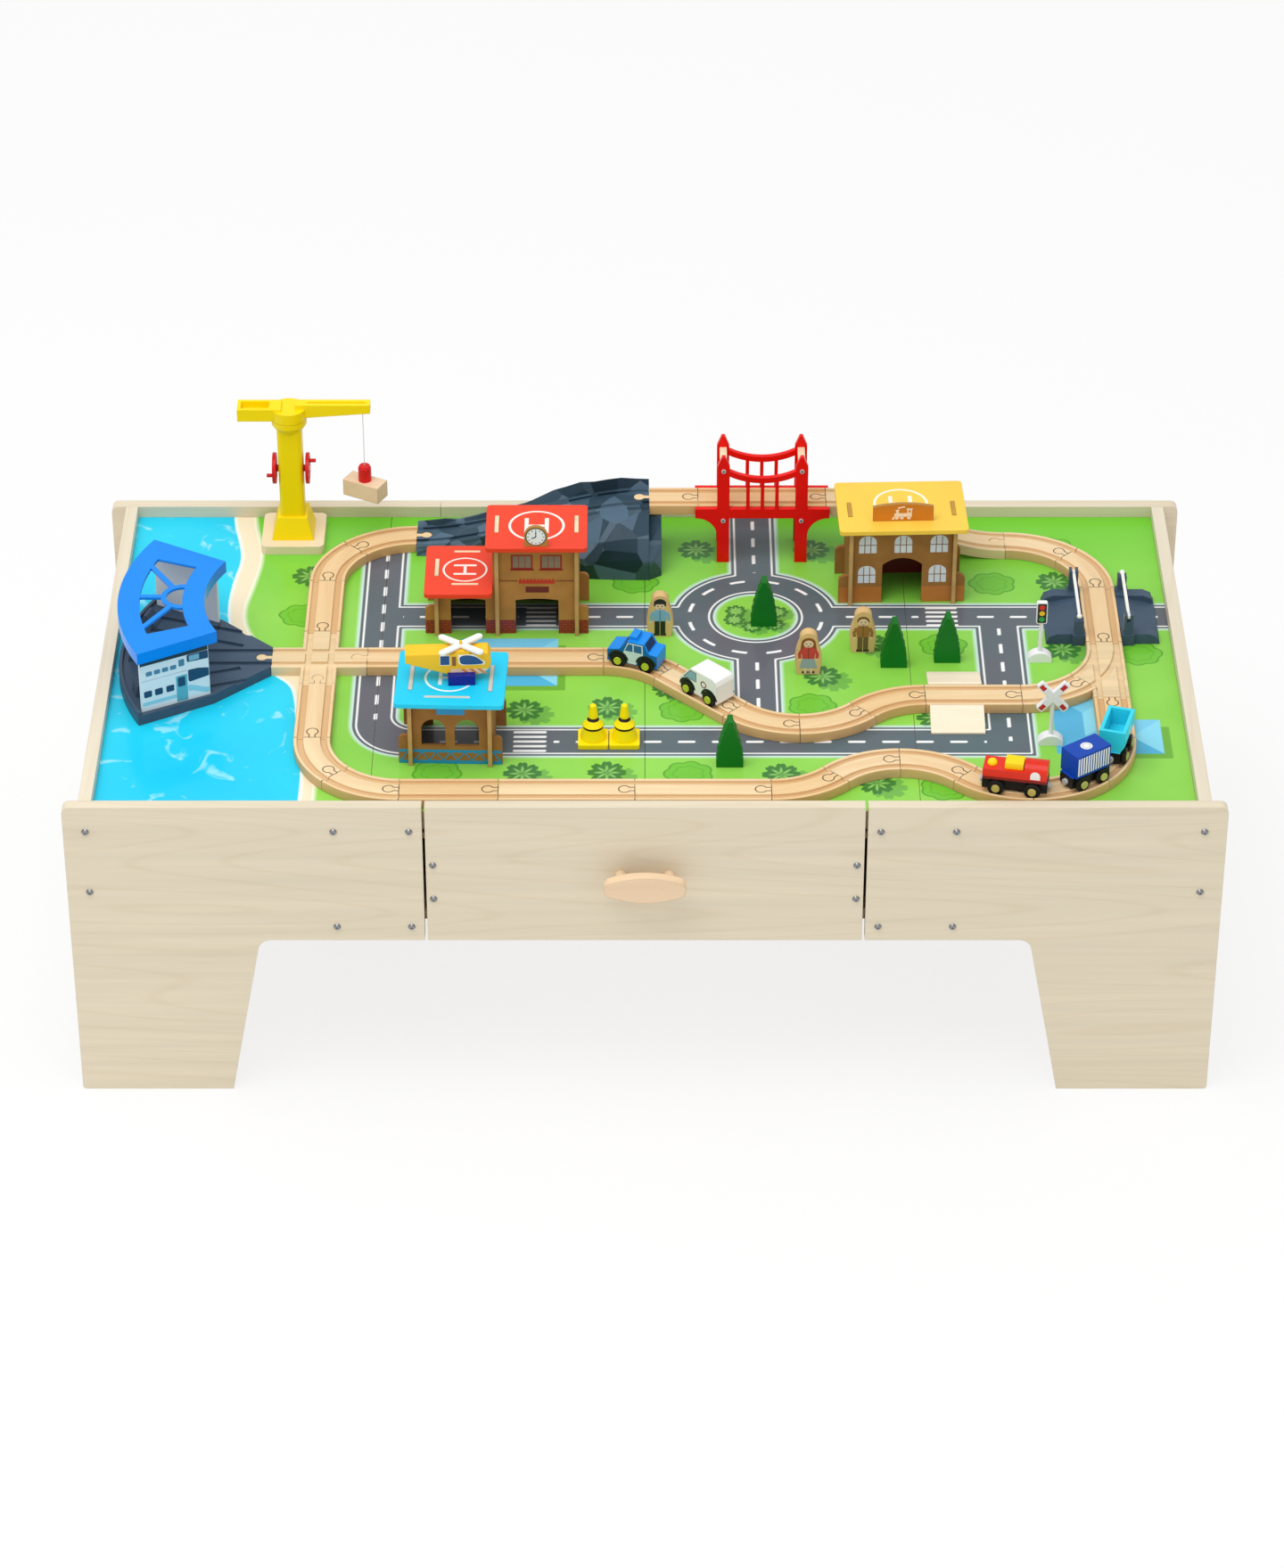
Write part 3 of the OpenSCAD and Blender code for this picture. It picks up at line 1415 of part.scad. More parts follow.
module crane_jib() {
  tip_h = jib_h * 0.55;
  half = jib_w / 2;
  box_half = jib_w * 0.85;
  color("#FFD400") on_board(crane_at, turn_z + jib_gap) difference() {
    union() {
      cylinder(r = crane_collar_r, h = jib_disc_h);
      translate([0, -half, 0]) stood(jib_w)
        polygon([[8, 2], [jib_l, jib_h - tip_h], [jib_l, jib_h], [8, jib_h]]);
      translate([-counter_l, -box_half, 1]) cube([counter_l - 8, 2 * box_half, jib_h - 4]);
    }
    translate([0, 0, -1]) cylinder(r = pivot_r + run_gap, h = jib_disc_h - 1);
    translate([-counter_l + 4, -box_half + 4, jib_h - 11]) cube([counter_l - 26, 2 * box_half - 8, jib_h]);
    translate([22, -2, jib_h - 2]) cube([jib_l - 27, 4, 3]);
    translate([tip_x - crane_at[0], 0, 0]) cylinder(r = cord_r + 0.5, h = 2 * jib_h);
  }
}

// Axle with a spoked wheel and a crank pin at each end
module crane_winch() {
  color("#E23A22") on_board(crane_at, winch_z) {
    rod_x(winch_r, 2 * (winch_half + winch_wheel_t / 2));
    for (s = [-1, 1]) translate([s * (winch_half + winch_wheel_t / 2), 0, 0]) {
      rotate([0, 90, 0]) linear_extrude(winch_wheel_t, center = true) {
        difference() {
          circle(winch_wheel_r);
          circle(winch_wheel_r - 5);
        }
        circle(winch_r + 3);
        for (a = [0:60:120]) rotate(a) square([2 * winch_wheel_r - 6, 4.5], center = true);
      }
      translate([s * crank_l / 2, 0, s * (winch_wheel_r - 8)]) rod_x(2.2, crank_l + winch_wheel_t - 1);
    }
  }
}

module hoist_cord() {
  color("#F2EFE6") on_board([tip_x, crane_at[1]], cord_low_z) cylinder(r = cord_r, h = cord_high_z - cord_low_z);
}

module crane_hook() {
  color("#D8121A") on_board([tip_x, crane_at[1]], hook_z) {
    cylinder(r = hook_r, h = hook_h - 3);
    translate([0, 0, hook_h - 3]) cylinder(r1 = hook_r, r2 = hook_r - 1.5, h = 3);
  }
}

module cargo_block() {
  color("#EBCFA6") on_board([tip_x, crane_at[1], cargo_turn], hook_z - cargo_h)
    block(cargo_l, cargo_w, cargo_h);
}

// Level crossing

ramp_in = track_w / 2 + joint_gap;
ramp_y = [gate_y + 14, gate_y + gate_l - 6];
post_x = ramp_in + gate_post_w / 2;
gate_foot_h = 14;
gate_head_w = 10;
arm_z = gate_post_h + 1.5;
post_low_y = ramp_y[0] + gate_post_d / 2 - 4;
post_high_y = ramp_y[1] - gate_post_d / 2 + 6;
gate_seat_z = arm_z - gate_ball_r - 0.3;

// One ramp, x away from the track's middle line
module crossing_ramp(pin_high) {
  lane = ramp_y[1] - ramp_y[0];
  kerb = 14;
  x1 = ramp_in + cross_ramp_w;
  top = track_t - 1;
  translate([0, ramp_y[0], 0]) {
    stood(lane) polygon([[ramp_in, 0], [x1, 0], [x1, 2.5], [ramp_in + 4, top], [ramp_in, top]]);
    for (y = [0, lane - kerb]) translate([0, y, 0]) stood(kerb)
      polygon([[ramp_in, 0], [x1, 0], [x1 - 3, 9], [x1 - 12, top + 2], [ramp_in, top + 2]]);
  }
  for (y = [post_low_y, post_high_y]) translate([post_x, y, 0]) {
    pinned = (y == post_high_y) == pin_high;
    block(gate_post_w, gate_post_d, gate_foot_h);
    difference() {
      block(gate_head_w, gate_head_w, pinned ? arm_z + gate_pin_r + 2.5 : gate_seat_z);
      if (pinned) {
        translate([-gate_arm_t / 2 - 0.4, -gate_post_d, arm_z - gate_pin_r - 4])
          cube([gate_arm_t + 0.8, 2 * gate_post_d, gate_post_h]);
        translate([0, 0, arm_z]) rod_x(gate_pin_r + run_gap, 2 * gate_post_w);
      }
    }
  }
}

module gate_ramps() {
  color("#33465A") on_board([right_x, 0]) {
    crossing_ramp(false);
    mirror([1, 0, 0]) crossing_ramp(true);
  }
}

// Arm along +y from its pin, with a ball at its far end
module gate_arm(length) {
  rod_x(gate_pin_r, gate_head_w);
  translate([0, -3, 0]) block_z(gate_arm_t, length + 3, gate_arm_t);
  translate([0, length, 0]) sphere(gate_ball_r);
  rod_x(gate_pin_r + 1.6, gate_arm_t);
}

// Box from y = 0, centred in x and z
module block_z(l, w, h) {
  translate([-l / 2, 0, -h / 2]) cube([l, w, h]);
}

gate_arm_l = post_high_y - post_low_y;
module gate_arm_left() {
  color("white") on_board([right_x - post_x, post_high_y], arm_z) mirror([0, 1, 0]) gate_arm(gate_arm_l);
}

module gate_arm_right() {
  color("white") on_board([right_x + post_x, post_low_y], arm_z) gate_arm(gate_arm_l);
}

// Signs, cones, trees and figures

// Foot with a round back, and a post
module sign_foot() {
  translate([0, -sign_foot_t / 2, 0]) stood(sign_foot_t) intersection() {
    translate([0, -sign_foot_w * 0.12]) circle(sign_foot_w * 0.57);
    translate([-sign_foot_w / 2, 0]) square([sign_foot_w, sign_foot_w]);
  }
  translate([0, 0, 5]) cylinder(r = 2.4, h = sign_h - 22);
}

light_w = 12;
light_h = 27;
cross_l = 44;
cross_w = 8;
board_sign_t = 4;
// Turned cone: [radius, height] in shares of its base and height
cone_shape = [
  [0.42, 0.1], [0.42, 0.16], [0.33, 0.42], [0.36, 0.46], [0.2, 0.6], [0.15, 0.62], [0.16, 0.7],
  [0.11, 0.97], [0.06, 1]
];
module road_signs() {
  color("white") {
    on_board(light_at) {
      sign_foot();
      translate([0, -board_sign_t, sign_h - light_h]) stood(board_sign_t + 2)
        translate([0, light_h / 2]) round_rect(light_w, light_h, 2);
    }
    on_board(cross_sign_at) {
      sign_foot();
      translate([0, -board_sign_t, sign_h - cross_l * 0.36]) stood(board_sign_t + 2)
        for (a = [48, 132]) rotate(a) round_rect(cross_l, cross_w, 1);
    }
  }
  color("#FFE600") for (p = cone_places) on_board(p) {
    linear_extrude(cone_h * 0.11) round_rect(cone_base, cone_base, 2.5);
    rotate_extrude($fn = 64) polygon(concat(
      [[0, cone_h * 0.1]], [for (q = cone_shape) [q[0] * cone_base, q[1] * cone_h]], [[0, cone_h]]
    ));
  }
}

// Half outline of a fir in steps that narrow upward
tree_steps = 5;
function fir_x(i, k) = tree_w * (0.51 - 0.35 * pow((i + 0.75 * k) / tree_steps, 1.5) - 0.055 * k);
function fir_z(i, k) = tree_h * (0.12 + 0.8 * (i + 0.85 * k) / tree_steps);
tree_half = concat(
  [[tree_w / 2, 0], [tree_w / 2, tree_h * 0.1]],
  [for (i = [0:tree_steps - 1]) for (k = [0, 1]) [fir_x(i, k), fir_z(i, k)]],
  [[tree_w * 0.09, tree_h]]
);
module trees() {
  color("#0B7A2A") for (p = tree_places) on_board(p) translate([0, -tree_t / 2, 0]) stood(tree_t)
    polygon(concat(tree_half, [for (i = [len(tree_half) - 1:-1:0]) [-tree_half[i][0], tree_half[i][1]]]));
}

// Flat wooden figure: round head on a body that widens to its foot
module figures() {
  head_r = figure_w * 0.33;
  half = [[0.42, 0], [0.5, 0.34], [0.44, 0.56], [0.32, 0.78]];
  color("#E8C88E") for (p = figure_places) on_board(p) translate([0, -figure_t / 2, 0]) stood(figure_t) {
    translate([0, figure_h - head_r]) circle(head_r);
    polygon(concat(
      [for (q = half) [q[0] * figure_w, q[1] * figure_h]],
      [for (i = [3:-1:0]) [-half[i][0] * figure_w, half[i][1] * figure_h]]
    ));
  }
}

// Vehicles, each in its own frame: +x forward, z from the board

// Bores for two axles
module axle_bores(base) {
  for (s = [-1, 1]) translate([s * base / 2, 0, wheel_z]) rod_y(axle_r + run_gap, 3 * vehicle_w);
}

// Room for four wheels
module wheel_room(base) {
  inner = gauge / 2 - wheel_w / 2 - 0.8;
  for (x = [-base / 2, base / 2], s = [-1, 1]) {
    translate([x, s * (inner + vehicle_w / 2), wheel_z]) rod_y(wheel_r + 1, vehicle_w);
  }
}

chassis_w = gauge - wheel_w - 2;
body_z = wheel_z + wheel_r + 0.6;
chassis_h = body_z - floor_z;
hub_w = 2.4;
// Wheels pressed on one axle
module wheelset() {
  rod_y(axle_r, gauge + wheel_w + hub_w);
  for (s = [-1, 1]) translate([0, s * gauge / 2, 0]) {
    rod_y(wheel_r, wheel_w);
    translate([0, s * (wheel_w + hub_w) / 2, 0]) rod_y(4.4, hub_w);
  }
}

// Frame under a rail vehicle with a magnet at each end
module chassis(l, base) {
  difference() {
    translate([0, 0, floor_z]) block(l, chassis_w, chassis_h);
    axle_bores(base);
  }
  for (s = [-1, 1]) translate([s * (l / 2 + 1.5), 0, floor_z + 5]) rod_x(3.5, 3);
}

hood_h = 12.5;
cab_rise = 8.5;
module locomotive() {
  cab_l = loco_l * 0.36;
  half = vehicle_w / 2 - 0.5;
  cab_r = (half * half + cab_rise * cab_rise) / 2 / cab_rise;
  color("#E0301A") on_board(loco_pose) {
    chassis(loco_l + 1, loco_base);
    translate([0, 0, body_z]) block(loco_l, 2 * half, hood_h);
    translate([-loco_l / 2 + cab_l / 2, 0, body_z + hood_h]) intersection() {
      translate([0, 0, cab_rise - cab_r]) rod_x(cab_r, cab_l);
      translate([0, 0, -1]) block(cab_l, 2 * half, cab_rise + 2);
    }
    translate([loco_l * 0.02, 0, body_z + hood_h]) block(20, 17, 7);
    translate([loco_l * 0.37, 0, body_z + hood_h]) sphere(5.5);
  }
}

box_h = 27;
module box_wagon() {
  color("#123A8C") on_board(box_pose) {
    chassis(box_l + 6, wagon_base);
    translate([0, 0, body_z]) block(box_l, vehicle_w, box_h);
  }
}

tub_h = 26;
module tipper_wagon() {
  half = vehicle_w / 2 + 1;
  foot = half - 5;
  color("#35CBE0") on_board(tub_pose) {
    chassis(tub_l + 2, wagon_base);
    translate([0, 0, body_z]) difference() {
      rotate([90, 0, 90]) linear_extrude(tub_l, center = true)
        polygon([[-foot, 0], [foot, 0], [half, 9], [half, tub_h], [-half, tub_h], [-half, 9]]);
      translate([0, 0, 6]) block(tub_l - 2 * tub_wall, 2 * (half - tub_wall), tub_h);
    }
  }
}

// Body of a road car, with room for wheels and axles
module car_body(outline) {
  difference() {
    translate([0, -vehicle_w / 2, floor_z + 1]) stood(vehicle_w) polygon(outline);
    axle_bores(car_base);
    wheel_room(car_base);
  }
}

// Saloon car with a light bar
module patrol_car() {
  f = patrol_l / 2;
  color("#1B7FDC") on_board(patrol_pose) {
    car_body([
      [-f, 0], [f, 0], [f, 14], [f - 14, 17], [f - 24, 29], [16 - f, 29], [10 - f, 18], [-f, 17]
    ]);
    translate([1, 0, floor_z + 29]) block(9, 17, 5.5);
  }
}

// Van with a sloping nose
module van() {
  f = van_l / 2;
  color("white") on_board(van_pose)
    car_body([[-f, 0], [f, 0], [f, 12], [f - 3, 15], [f - 16, 30], [7 - f, 30], [2 - f, 28], [-f, 23]]);
}

// One wheelset of a vehicle, at the rear with end = -1
module wheels_at(pose, base, end) {
  color("#222222") on_board(pose) translate([end * base / 2, 0, wheel_z]) wheelset();
}

module loco_front_wheels() wheels_at(loco_pose, loco_base, 1);
module loco_rear_wheels() wheels_at(loco_pose, loco_base, -1);
module box_front_wheels() wheels_at(box_pose, wagon_base, 1);
module box_rear_wheels() wheels_at(box_pose, wagon_base, -1);
module tipper_front_wheels() wheels_at(tub_pose, wagon_base, 1);
module tipper_rear_wheels() wheels_at(tub_pose, wagon_base, -1);
module patrol_front_wheels() wheels_at(patrol_pose, car_base, 1);
module patrol_rear_wheels() wheels_at(patrol_pose, car_base, -1);
module van_front_wheels() wheels_at(van_pose, car_base, 1);
module van_rear_wheels() wheels_at(van_pose, car_base, -1);

put() front_leg_panels();
put() back_panels();
put() end_walls();
put() inner_panels();
put() board_battens();
put() drawer_runners();
put() play_boards();
put() panel_screws();
put() drawer_front();
put() drawer_box();
put() drawer_bottom();
put() drawer_handle();
put() drawer_screws();
put() curved_tracks();
put() straight_tracks();
put() junction_tracks();
put() ascending_track();
put() road_ramps();
put() mountain();
put() bridge_sides();
put() bridge_bars();
put() castle_walls();
put() castle_roofs();
put() station_walls();
put() station_roof();
put() roof_signs();
put() kiosk_walls();
put() kiosk_roof();
put() helicopter_body();
put() helicopter_rotor();
put() shed_base();
put() shed_walls();
put() shed_roof();
put() crane_tower();
put() crane_jib();
put() crane_winch();
put() hoist_cord();
put() crane_hook();
put() cargo_block();
put() gate_ramps();
put() gate_arm_left();
put() gate_arm_right();
put() road_signs();
put() trees();
put() figures();
put() locomotive();
put() box_wagon();
put() tipper_wagon();
put() patrol_car();
put() van();
put() loco_front_wheels();
put() loco_rear_wheels();
put() box_front_wheels();
put() box_rear_wheels();
put() tipper_front_wheels();
put() tipper_rear_wheels();
put() patrol_front_wheels();
put() patrol_rear_wheels();
put() van_front_wheels();
put() van_rear_wheels();
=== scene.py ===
import math

import bpy
import numpy as np
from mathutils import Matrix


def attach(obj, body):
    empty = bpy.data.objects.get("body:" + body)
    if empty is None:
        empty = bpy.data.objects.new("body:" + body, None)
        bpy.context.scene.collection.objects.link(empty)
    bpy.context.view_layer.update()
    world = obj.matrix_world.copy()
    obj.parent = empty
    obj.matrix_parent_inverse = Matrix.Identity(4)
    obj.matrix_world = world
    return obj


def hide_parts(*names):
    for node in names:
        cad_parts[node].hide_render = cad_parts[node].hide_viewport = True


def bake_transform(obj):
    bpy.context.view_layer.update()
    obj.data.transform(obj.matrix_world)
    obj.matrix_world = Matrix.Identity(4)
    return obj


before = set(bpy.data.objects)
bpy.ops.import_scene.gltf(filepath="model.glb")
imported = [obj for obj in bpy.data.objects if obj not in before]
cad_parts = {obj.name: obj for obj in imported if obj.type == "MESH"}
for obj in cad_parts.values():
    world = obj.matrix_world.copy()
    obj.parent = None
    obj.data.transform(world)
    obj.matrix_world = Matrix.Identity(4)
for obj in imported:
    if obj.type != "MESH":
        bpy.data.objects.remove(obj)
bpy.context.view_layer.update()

# Table panels: front and back leg panels, end walls and the panels inside.
# Board faced with a pale wood foil that runs along the table, held by screws through the faces.


def linear(code):
    """The scene-linear colour of a six-figure hex code, each channel by the usual display curve."""
    c = np.array([int(code[i:i + 2], 16) for i in (1, 3, 5)]) / 255.0
    c = np.where(c <= 0.04045, c / 12.92, ((c + 0.055) / 1.055) ** 2.4)
    return (*c.tolist(), 1.0)


def feed(tree, inputs, sockets):
    """Fills inputs by name or number: an output is linked, a hex code becomes its colour, a value is set."""
    for key, value in sockets.items():
        if isinstance(value, bpy.types.NodeSocket):
            tree.links.new(value, inputs[key])
        else:
            inputs[key].default_value = linear(value) if isinstance(value, str) else value


def node(tree, kind, sockets=None, **settings):
    """One shader node with its settings and its inputs."""
    made = tree.nodes.new("ShaderNode" + kind)
    for key, value in settings.items():
        setattr(made, key, value)
    feed(tree, made.inputs, sockets or {})
    return made


def math_node(tree, operation, a, b=0.0, clamp=False):
    """The output of a math node on two values or sockets."""
    return node(tree, "Math", {0: a, 1: b}, operation=operation, use_clamp=clamp).outputs[0]


def vector_node(tree, operation, a, b=(0, 0, 0)):
    """The output of a vector math node on two vectors or sockets."""
    return node(tree, "VectorMath", {0: a, 1: b}, operation=operation).outputs[0]


def ramp(tree, value, low, high, to_low=0.0, to_high=1.0):
    """A value between low and high taken to another range, and held at its ends."""
    return node(tree, "MapRange", {0: value, 1: low, 2: high, 3: to_low, 4: to_high}).outputs[0]


def noise(tree, vector, scale, detail, **more):
    """The value of a noise texture."""
    sockets = {"Vector": vector, "Scale": scale, "Detail": detail, **more}
    return node(tree, "TexNoise", sockets).outputs["Fac"]


def mixed(tree, share, a, b, blend="MIX"):
    """The colour a shaded towards b by share."""
    return node(tree, "Mix", {0: share, 6: a, 7: b}, data_type="RGBA", blend_type=blend).outputs[2]


def shared(tree, kind, sockets):
    """The outputs of one of the node groups."""
    return node(tree, "Group", sockets, node_tree=kind).outputs


def place(tree):
    """Object coordinates."""
    return node(tree, "TexCoord").outputs["Object"]


def group(name, inputs, outputs):
    """An empty node group with its sockets; returns the tree and its input and output nodes."""
    tree = bpy.data.node_groups.new(name, "ShaderNodeTree")
    for title, kind, value in inputs:
        socket = tree.interface.new_socket(title, in_out="INPUT", socket_type="NodeSocket" + kind)
        socket.default_value = value
    for title, kind in outputs:
        tree.interface.new_socket(title, in_out="OUTPUT", socket_type="NodeSocket" + kind)
    return tree, tree.nodes.new("NodeGroupInput").outputs, tree.nodes.new("NodeGroupOutput").inputs


# Long streaks of wood: two stretched noises, a broad one for the tone and a fine one for the pores
grain, given, made = group(
    "grain",
    [("Vector", "Vector", (0, 0, 0)), ("Stretch", "Vector", (2.0, 40.0, 40.0))],
    [("Tone", "Float"), ("Pores", "Float")],
)
along = vector_node(grain, "MULTIPLY", given["Vector"], given["Stretch"])
broad = noise(grain, along, 1.0, 5.0, Roughness=0.6, Distortion=0.6)
fine = noise(grain, along, 6.5, 3.0, Roughness=0.7)
feed(grain, made, {"Tone": ramp(grain, broad, 0.32, 0.7), "Pores": ramp(grain, fine, 0.5, 0.75)})

# Uneven paint or plastic: a soft cloud for the tone and a fine one for the skin
mottle, given, made = group(
    "mottle",
    [("Vector", "Vector", (0, 0, 0)), ("Scale", "Float", 30.0)],
    [("Tone", "Float"), ("Skin", "Float")],
)
cloud = noise(mottle, given["Vector"], given["Scale"], 3.0)
skin = noise(mottle, given["Vector"], math_node(mottle, "MULTIPLY", given["Scale"], 28.0), 2.0)
feed(mottle, made, {"Tone": ramp(mottle, cloud, 0.3, 0.7), "Skin": skin})

# Pointed figure of the foil: thin lines where a smooth stretched noise passes equal steps
figure, given, made = group(
    "figure",
    [("Vector", "Vector", (0, 0, 0)), ("Stretch", "Vector", (0.9, 9.0, 9.0))],
    [("Line", "Float")],
)
along = vector_node(figure, "MULTIPLY", given["Vector"], given["Stretch"])
swell = noise(figure, along, 1.0, 1.0, Roughness=0.35)
step = math_node(figure, "PINGPONG", math_node(figure, "MULTIPLY", swell, 20.0), 0.5)
feed(figure, made, {"Line": ramp(figure, step, 0.13, 0.0)})

# Worn edges: the normal as if every edge had a small radius
soft_edge, given, made = group("soft_edge", [("Radius", "Float", 0.0006)], [("Normal", "Vector")])
worn = node(soft_edge, "Bevel", {"Radius": given["Radius"]}, samples=6)
feed(soft_edge, made, {"Normal": worn.outputs[0]})


def blank(name):
    """A new material, its tree and the inputs of its shader."""
    material = bpy.data.materials.new(name)
    material.use_nodes = True
    return material, material.node_tree, material.node_tree.nodes["Principled BSDF"].inputs


def dress(material, *names):
    """Gives a material to CAD nodes that stay in view."""
    for name in names:
        worn_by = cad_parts[name].data.materials
        worn_by.clear()
        worn_by.append(material)


def relief(tree, strength, height, edge):
    """A normal with a fine bump, and edges that seem to have a radius of edge millimetres."""
    normal = shared(tree, soft_edge, {"Radius": edge / 1000.0})[0]
    sockets = {"Strength": strength, "Distance": 0.0004, "Height": height, "Normal": normal}
    return node(tree, "Bump", sockets).outputs[0]


def surface(
    name, colour, rough, *names,
    stretch=None, scale=20.0, depth=0.08, bump=0.06, edge=0.6, coat=0.0, metal=0.0,
):
    """A material in Object coordinates for the CAD nodes named: a colour with grain along one axis, or
    mottled where stretch is None. depth is how much darker the dark places are."""
    material, tree, shader = blank(name)
    if stretch:
        tex = shared(tree, grain, {"Vector": place(tree), "Stretch": stretch})
    else:
        tex = shared(tree, mottle, {"Vector": place(tree), "Scale": scale})
    tone = mixed(tree, tex[0], colour, (1.0 - depth,) * 3 + (1.0,), "MULTIPLY")
    tone.node.name = "tone"
    feed(tree, shader, {
        "Base Color": tone, "Roughness": ramp(tree, tex[1], 0.0, 1.0, rough - 0.04, rough + 0.05),
        "Normal": relief(tree, bump, tex[1], edge), "Metallic": metal,
        "Specular IOR Level": 0.5 if metal else 0.22, "Coat Weight": coat, "Coat Roughness": 0.12,
    })
    dress(material, *names)
    return material


def figured(material, stretch):
    """Draws the foil's figure over a material's colour; stretch says how it runs."""
    tree = material.node_tree
    tone = tree.nodes["tone"].inputs[6]
    line = shared(tree, figure, {"Vector": place(tree), "Stretch": stretch})["Line"]
    share = math_node(tree, "MULTIPLY", line, 0.17)
    tree.links.new(mixed(tree, share, tuple(tone.default_value), "#CDB78F"), tone)


panel_foil = surface(
    "panel_foil", "#E4D8BF", 0.42, "front_leg_panels", "back_panels",
    stretch=(2.2, 74.0, 74.0), depth=0.09, bump=0.04, edge=1.0,
)
cross_foil = surface(
    "cross_foil", "#E6DBC4", 0.42, "end_walls", "inner_panels",
    stretch=(74.0, 2.2, 74.0), bump=0.04, edge=1.0,
)
figured(panel_foil, (0.9, 9.0, 9.0))
figured(cross_foil, (9.0, 0.9, 9.0))

# Battens and drawer runners: plain strips of softwood under the boards and beside the drawer.
# Screwed to the panels, seen only from below.
bare_wood = surface(
    "bare_wood", "#E9D3AC", 0.55, "board_battens", "drawer_runners",
    stretch=(3.0, 55.0, 55.0), depth=0.18, bump=0.1,
)

# Panel screws: zinc-plated heads with a cross recess, one in every countersunk hole.
# Turned in from the outside of the panels.
surface(
    "screw_steel", "#96989B", 0.26, "panel_screws", "drawer_screws",
    scale=200.0, depth=0.1, metal=1.0, edge=0.3,
)

# Play boards: four thin lacquered boards side by side, printed with one map.
# They lie loose on the battens inside the panels.
SHIFT_Y = 13.9
BOARD_Z = 364.0
BOARD_T = 5.0
FAR_OFF = 99.0


def chaikin(points, rounds=3):
    """A closed outline with its corners cut: each round keeps points a quarter in from a side's ends."""
    p = np.asarray(points, float)
    for _ in range(rounds):
        q = np.roll(p, -1, axis=0)
        p = np.stack([0.75 * p + 0.25 * q, 0.25 * p + 0.75 * q], 1).reshape(-1, 2)
    return p


def outline_distance(x, y, points):
    """Signed distance to a closed outline: the nearest distance to its sides, negative where a ray crosses it
    an odd number of times."""
    best = np.full(x.shape, 1e9)
    inside = np.zeros(x.shape, bool)
    for (ax, ay), (bx, by) in zip(points, np.roll(points, -1, axis=0)):
        dx, dy = bx - ax, by - ay
        t = np.clip(((x - ax) * dx + (y - ay) * dy) / (dx * dx + dy * dy + 1e-12), 0, 1)
        best = np.minimum(best, np.hypot(x - ax - t * dx, y - ay - t * dy))
        inside ^= ((ay > y) != (by > y)) & (x < dx * (y - ay) / (dy + 1e-12) + ax)
    return np.where(inside, -best, best)


def box_distance(x, y, x0, x1, y0, y1, r=0.0):
    """Signed distance to an upright rectangle with corners of radius r."""
    px = np.abs(x - (x0 + x1) / 2) - (x1 - x0) / 2 + r
    py = np.abs(y - (y0 + y1) / 2) - (y1 - y0) / 2 + r
    return np.hypot(np.maximum(px, 0), np.maximum(py, 0)) + np.minimum(np.maximum(px, py), 0) - r


def dashes(along, across, start=0.0, period=37.0, length=19.0, width=4.0):
    """Signed distance to a broken line: length long in every period, width wide."""
    phase = np.mod(along - start, period) - period / 2
    return np.maximum(np.abs(across) - width / 2, np.abs(phase) - length / 2)


def road_print(x, y):
    """Signed distances, in millimetres, to the road surface and to the white marks on it.
    Roads are rectangles and a ring joined by the smaller distance; the big corner is a rounded rectangle less
    another. Marks are dashes along each road, and bars where the print has a crossing."""
    hub_x, hub_y, island_r, mark_r, ring_r = 125, 84, 48, 75, 94
    far = np.hypot(x - hub_x, y - hub_y)
    outer = box_distance(x, y, -320, 900, -194, 900, 62)
    inner = box_distance(x, y, -273, 900, -139, 900, 22)
    road = np.minimum.reduce([
        np.maximum.reduce([outer, -inner, y - 240, x - 398]),
        np.maximum(far - ring_r, island_r - far),
        np.maximum(box_distance(x, y, -290, 700, 60, 109), island_r - far),
        np.maximum(box_distance(x, y, 99, 150, -150, 700), island_r - far),
        box_distance(x, y, 372, 424, -194, 75),
    ])
    turn = np.arctan2(y - hub_y, x - hub_x) * mark_r
    marks = np.minimum.reduce([np.where(where, line, FAR_OFF) for where, line in (
        ((y > -125) & (y < 235), dashes(y, x + 295, 8)),
        ((x > -232) & (x < 372), dashes(x, y + 167, -10)),
        ((x > -273) & (far > 92) & (x < 600), dashes(x, y - hub_y, -4)),
        ((far > 92) & (y > -130), dashes(y, x - hub_x, 2)),
        ((y < 60) & (y > -166), dashes(y, x - 398)),
        (far < 92, dashes(turn, far - mark_r, period=mark_r * math.pi / 6, length=18)),
    )])
    for mid, half, low, high, bare in (
        (335, 18, 62, 107, (310, 361, 60, 109)), (-125, 18, -189, -144, (-150, -100, -194, -139)),
        (-117, 17, 62, 107, (-141, -93, 60, 109)),
    ):
        bars = np.maximum(np.abs(x - mid) - half, np.abs(np.mod(y - low, 9.0) - 4.5) - 2.1)
        marks = np.where(box_distance(x, y, *bare) < 0, FAR_OFF, marks)
        marks = np.minimum(marks, bars + 1000.0 * ((y < low) | (y > high)))
    return road, marks


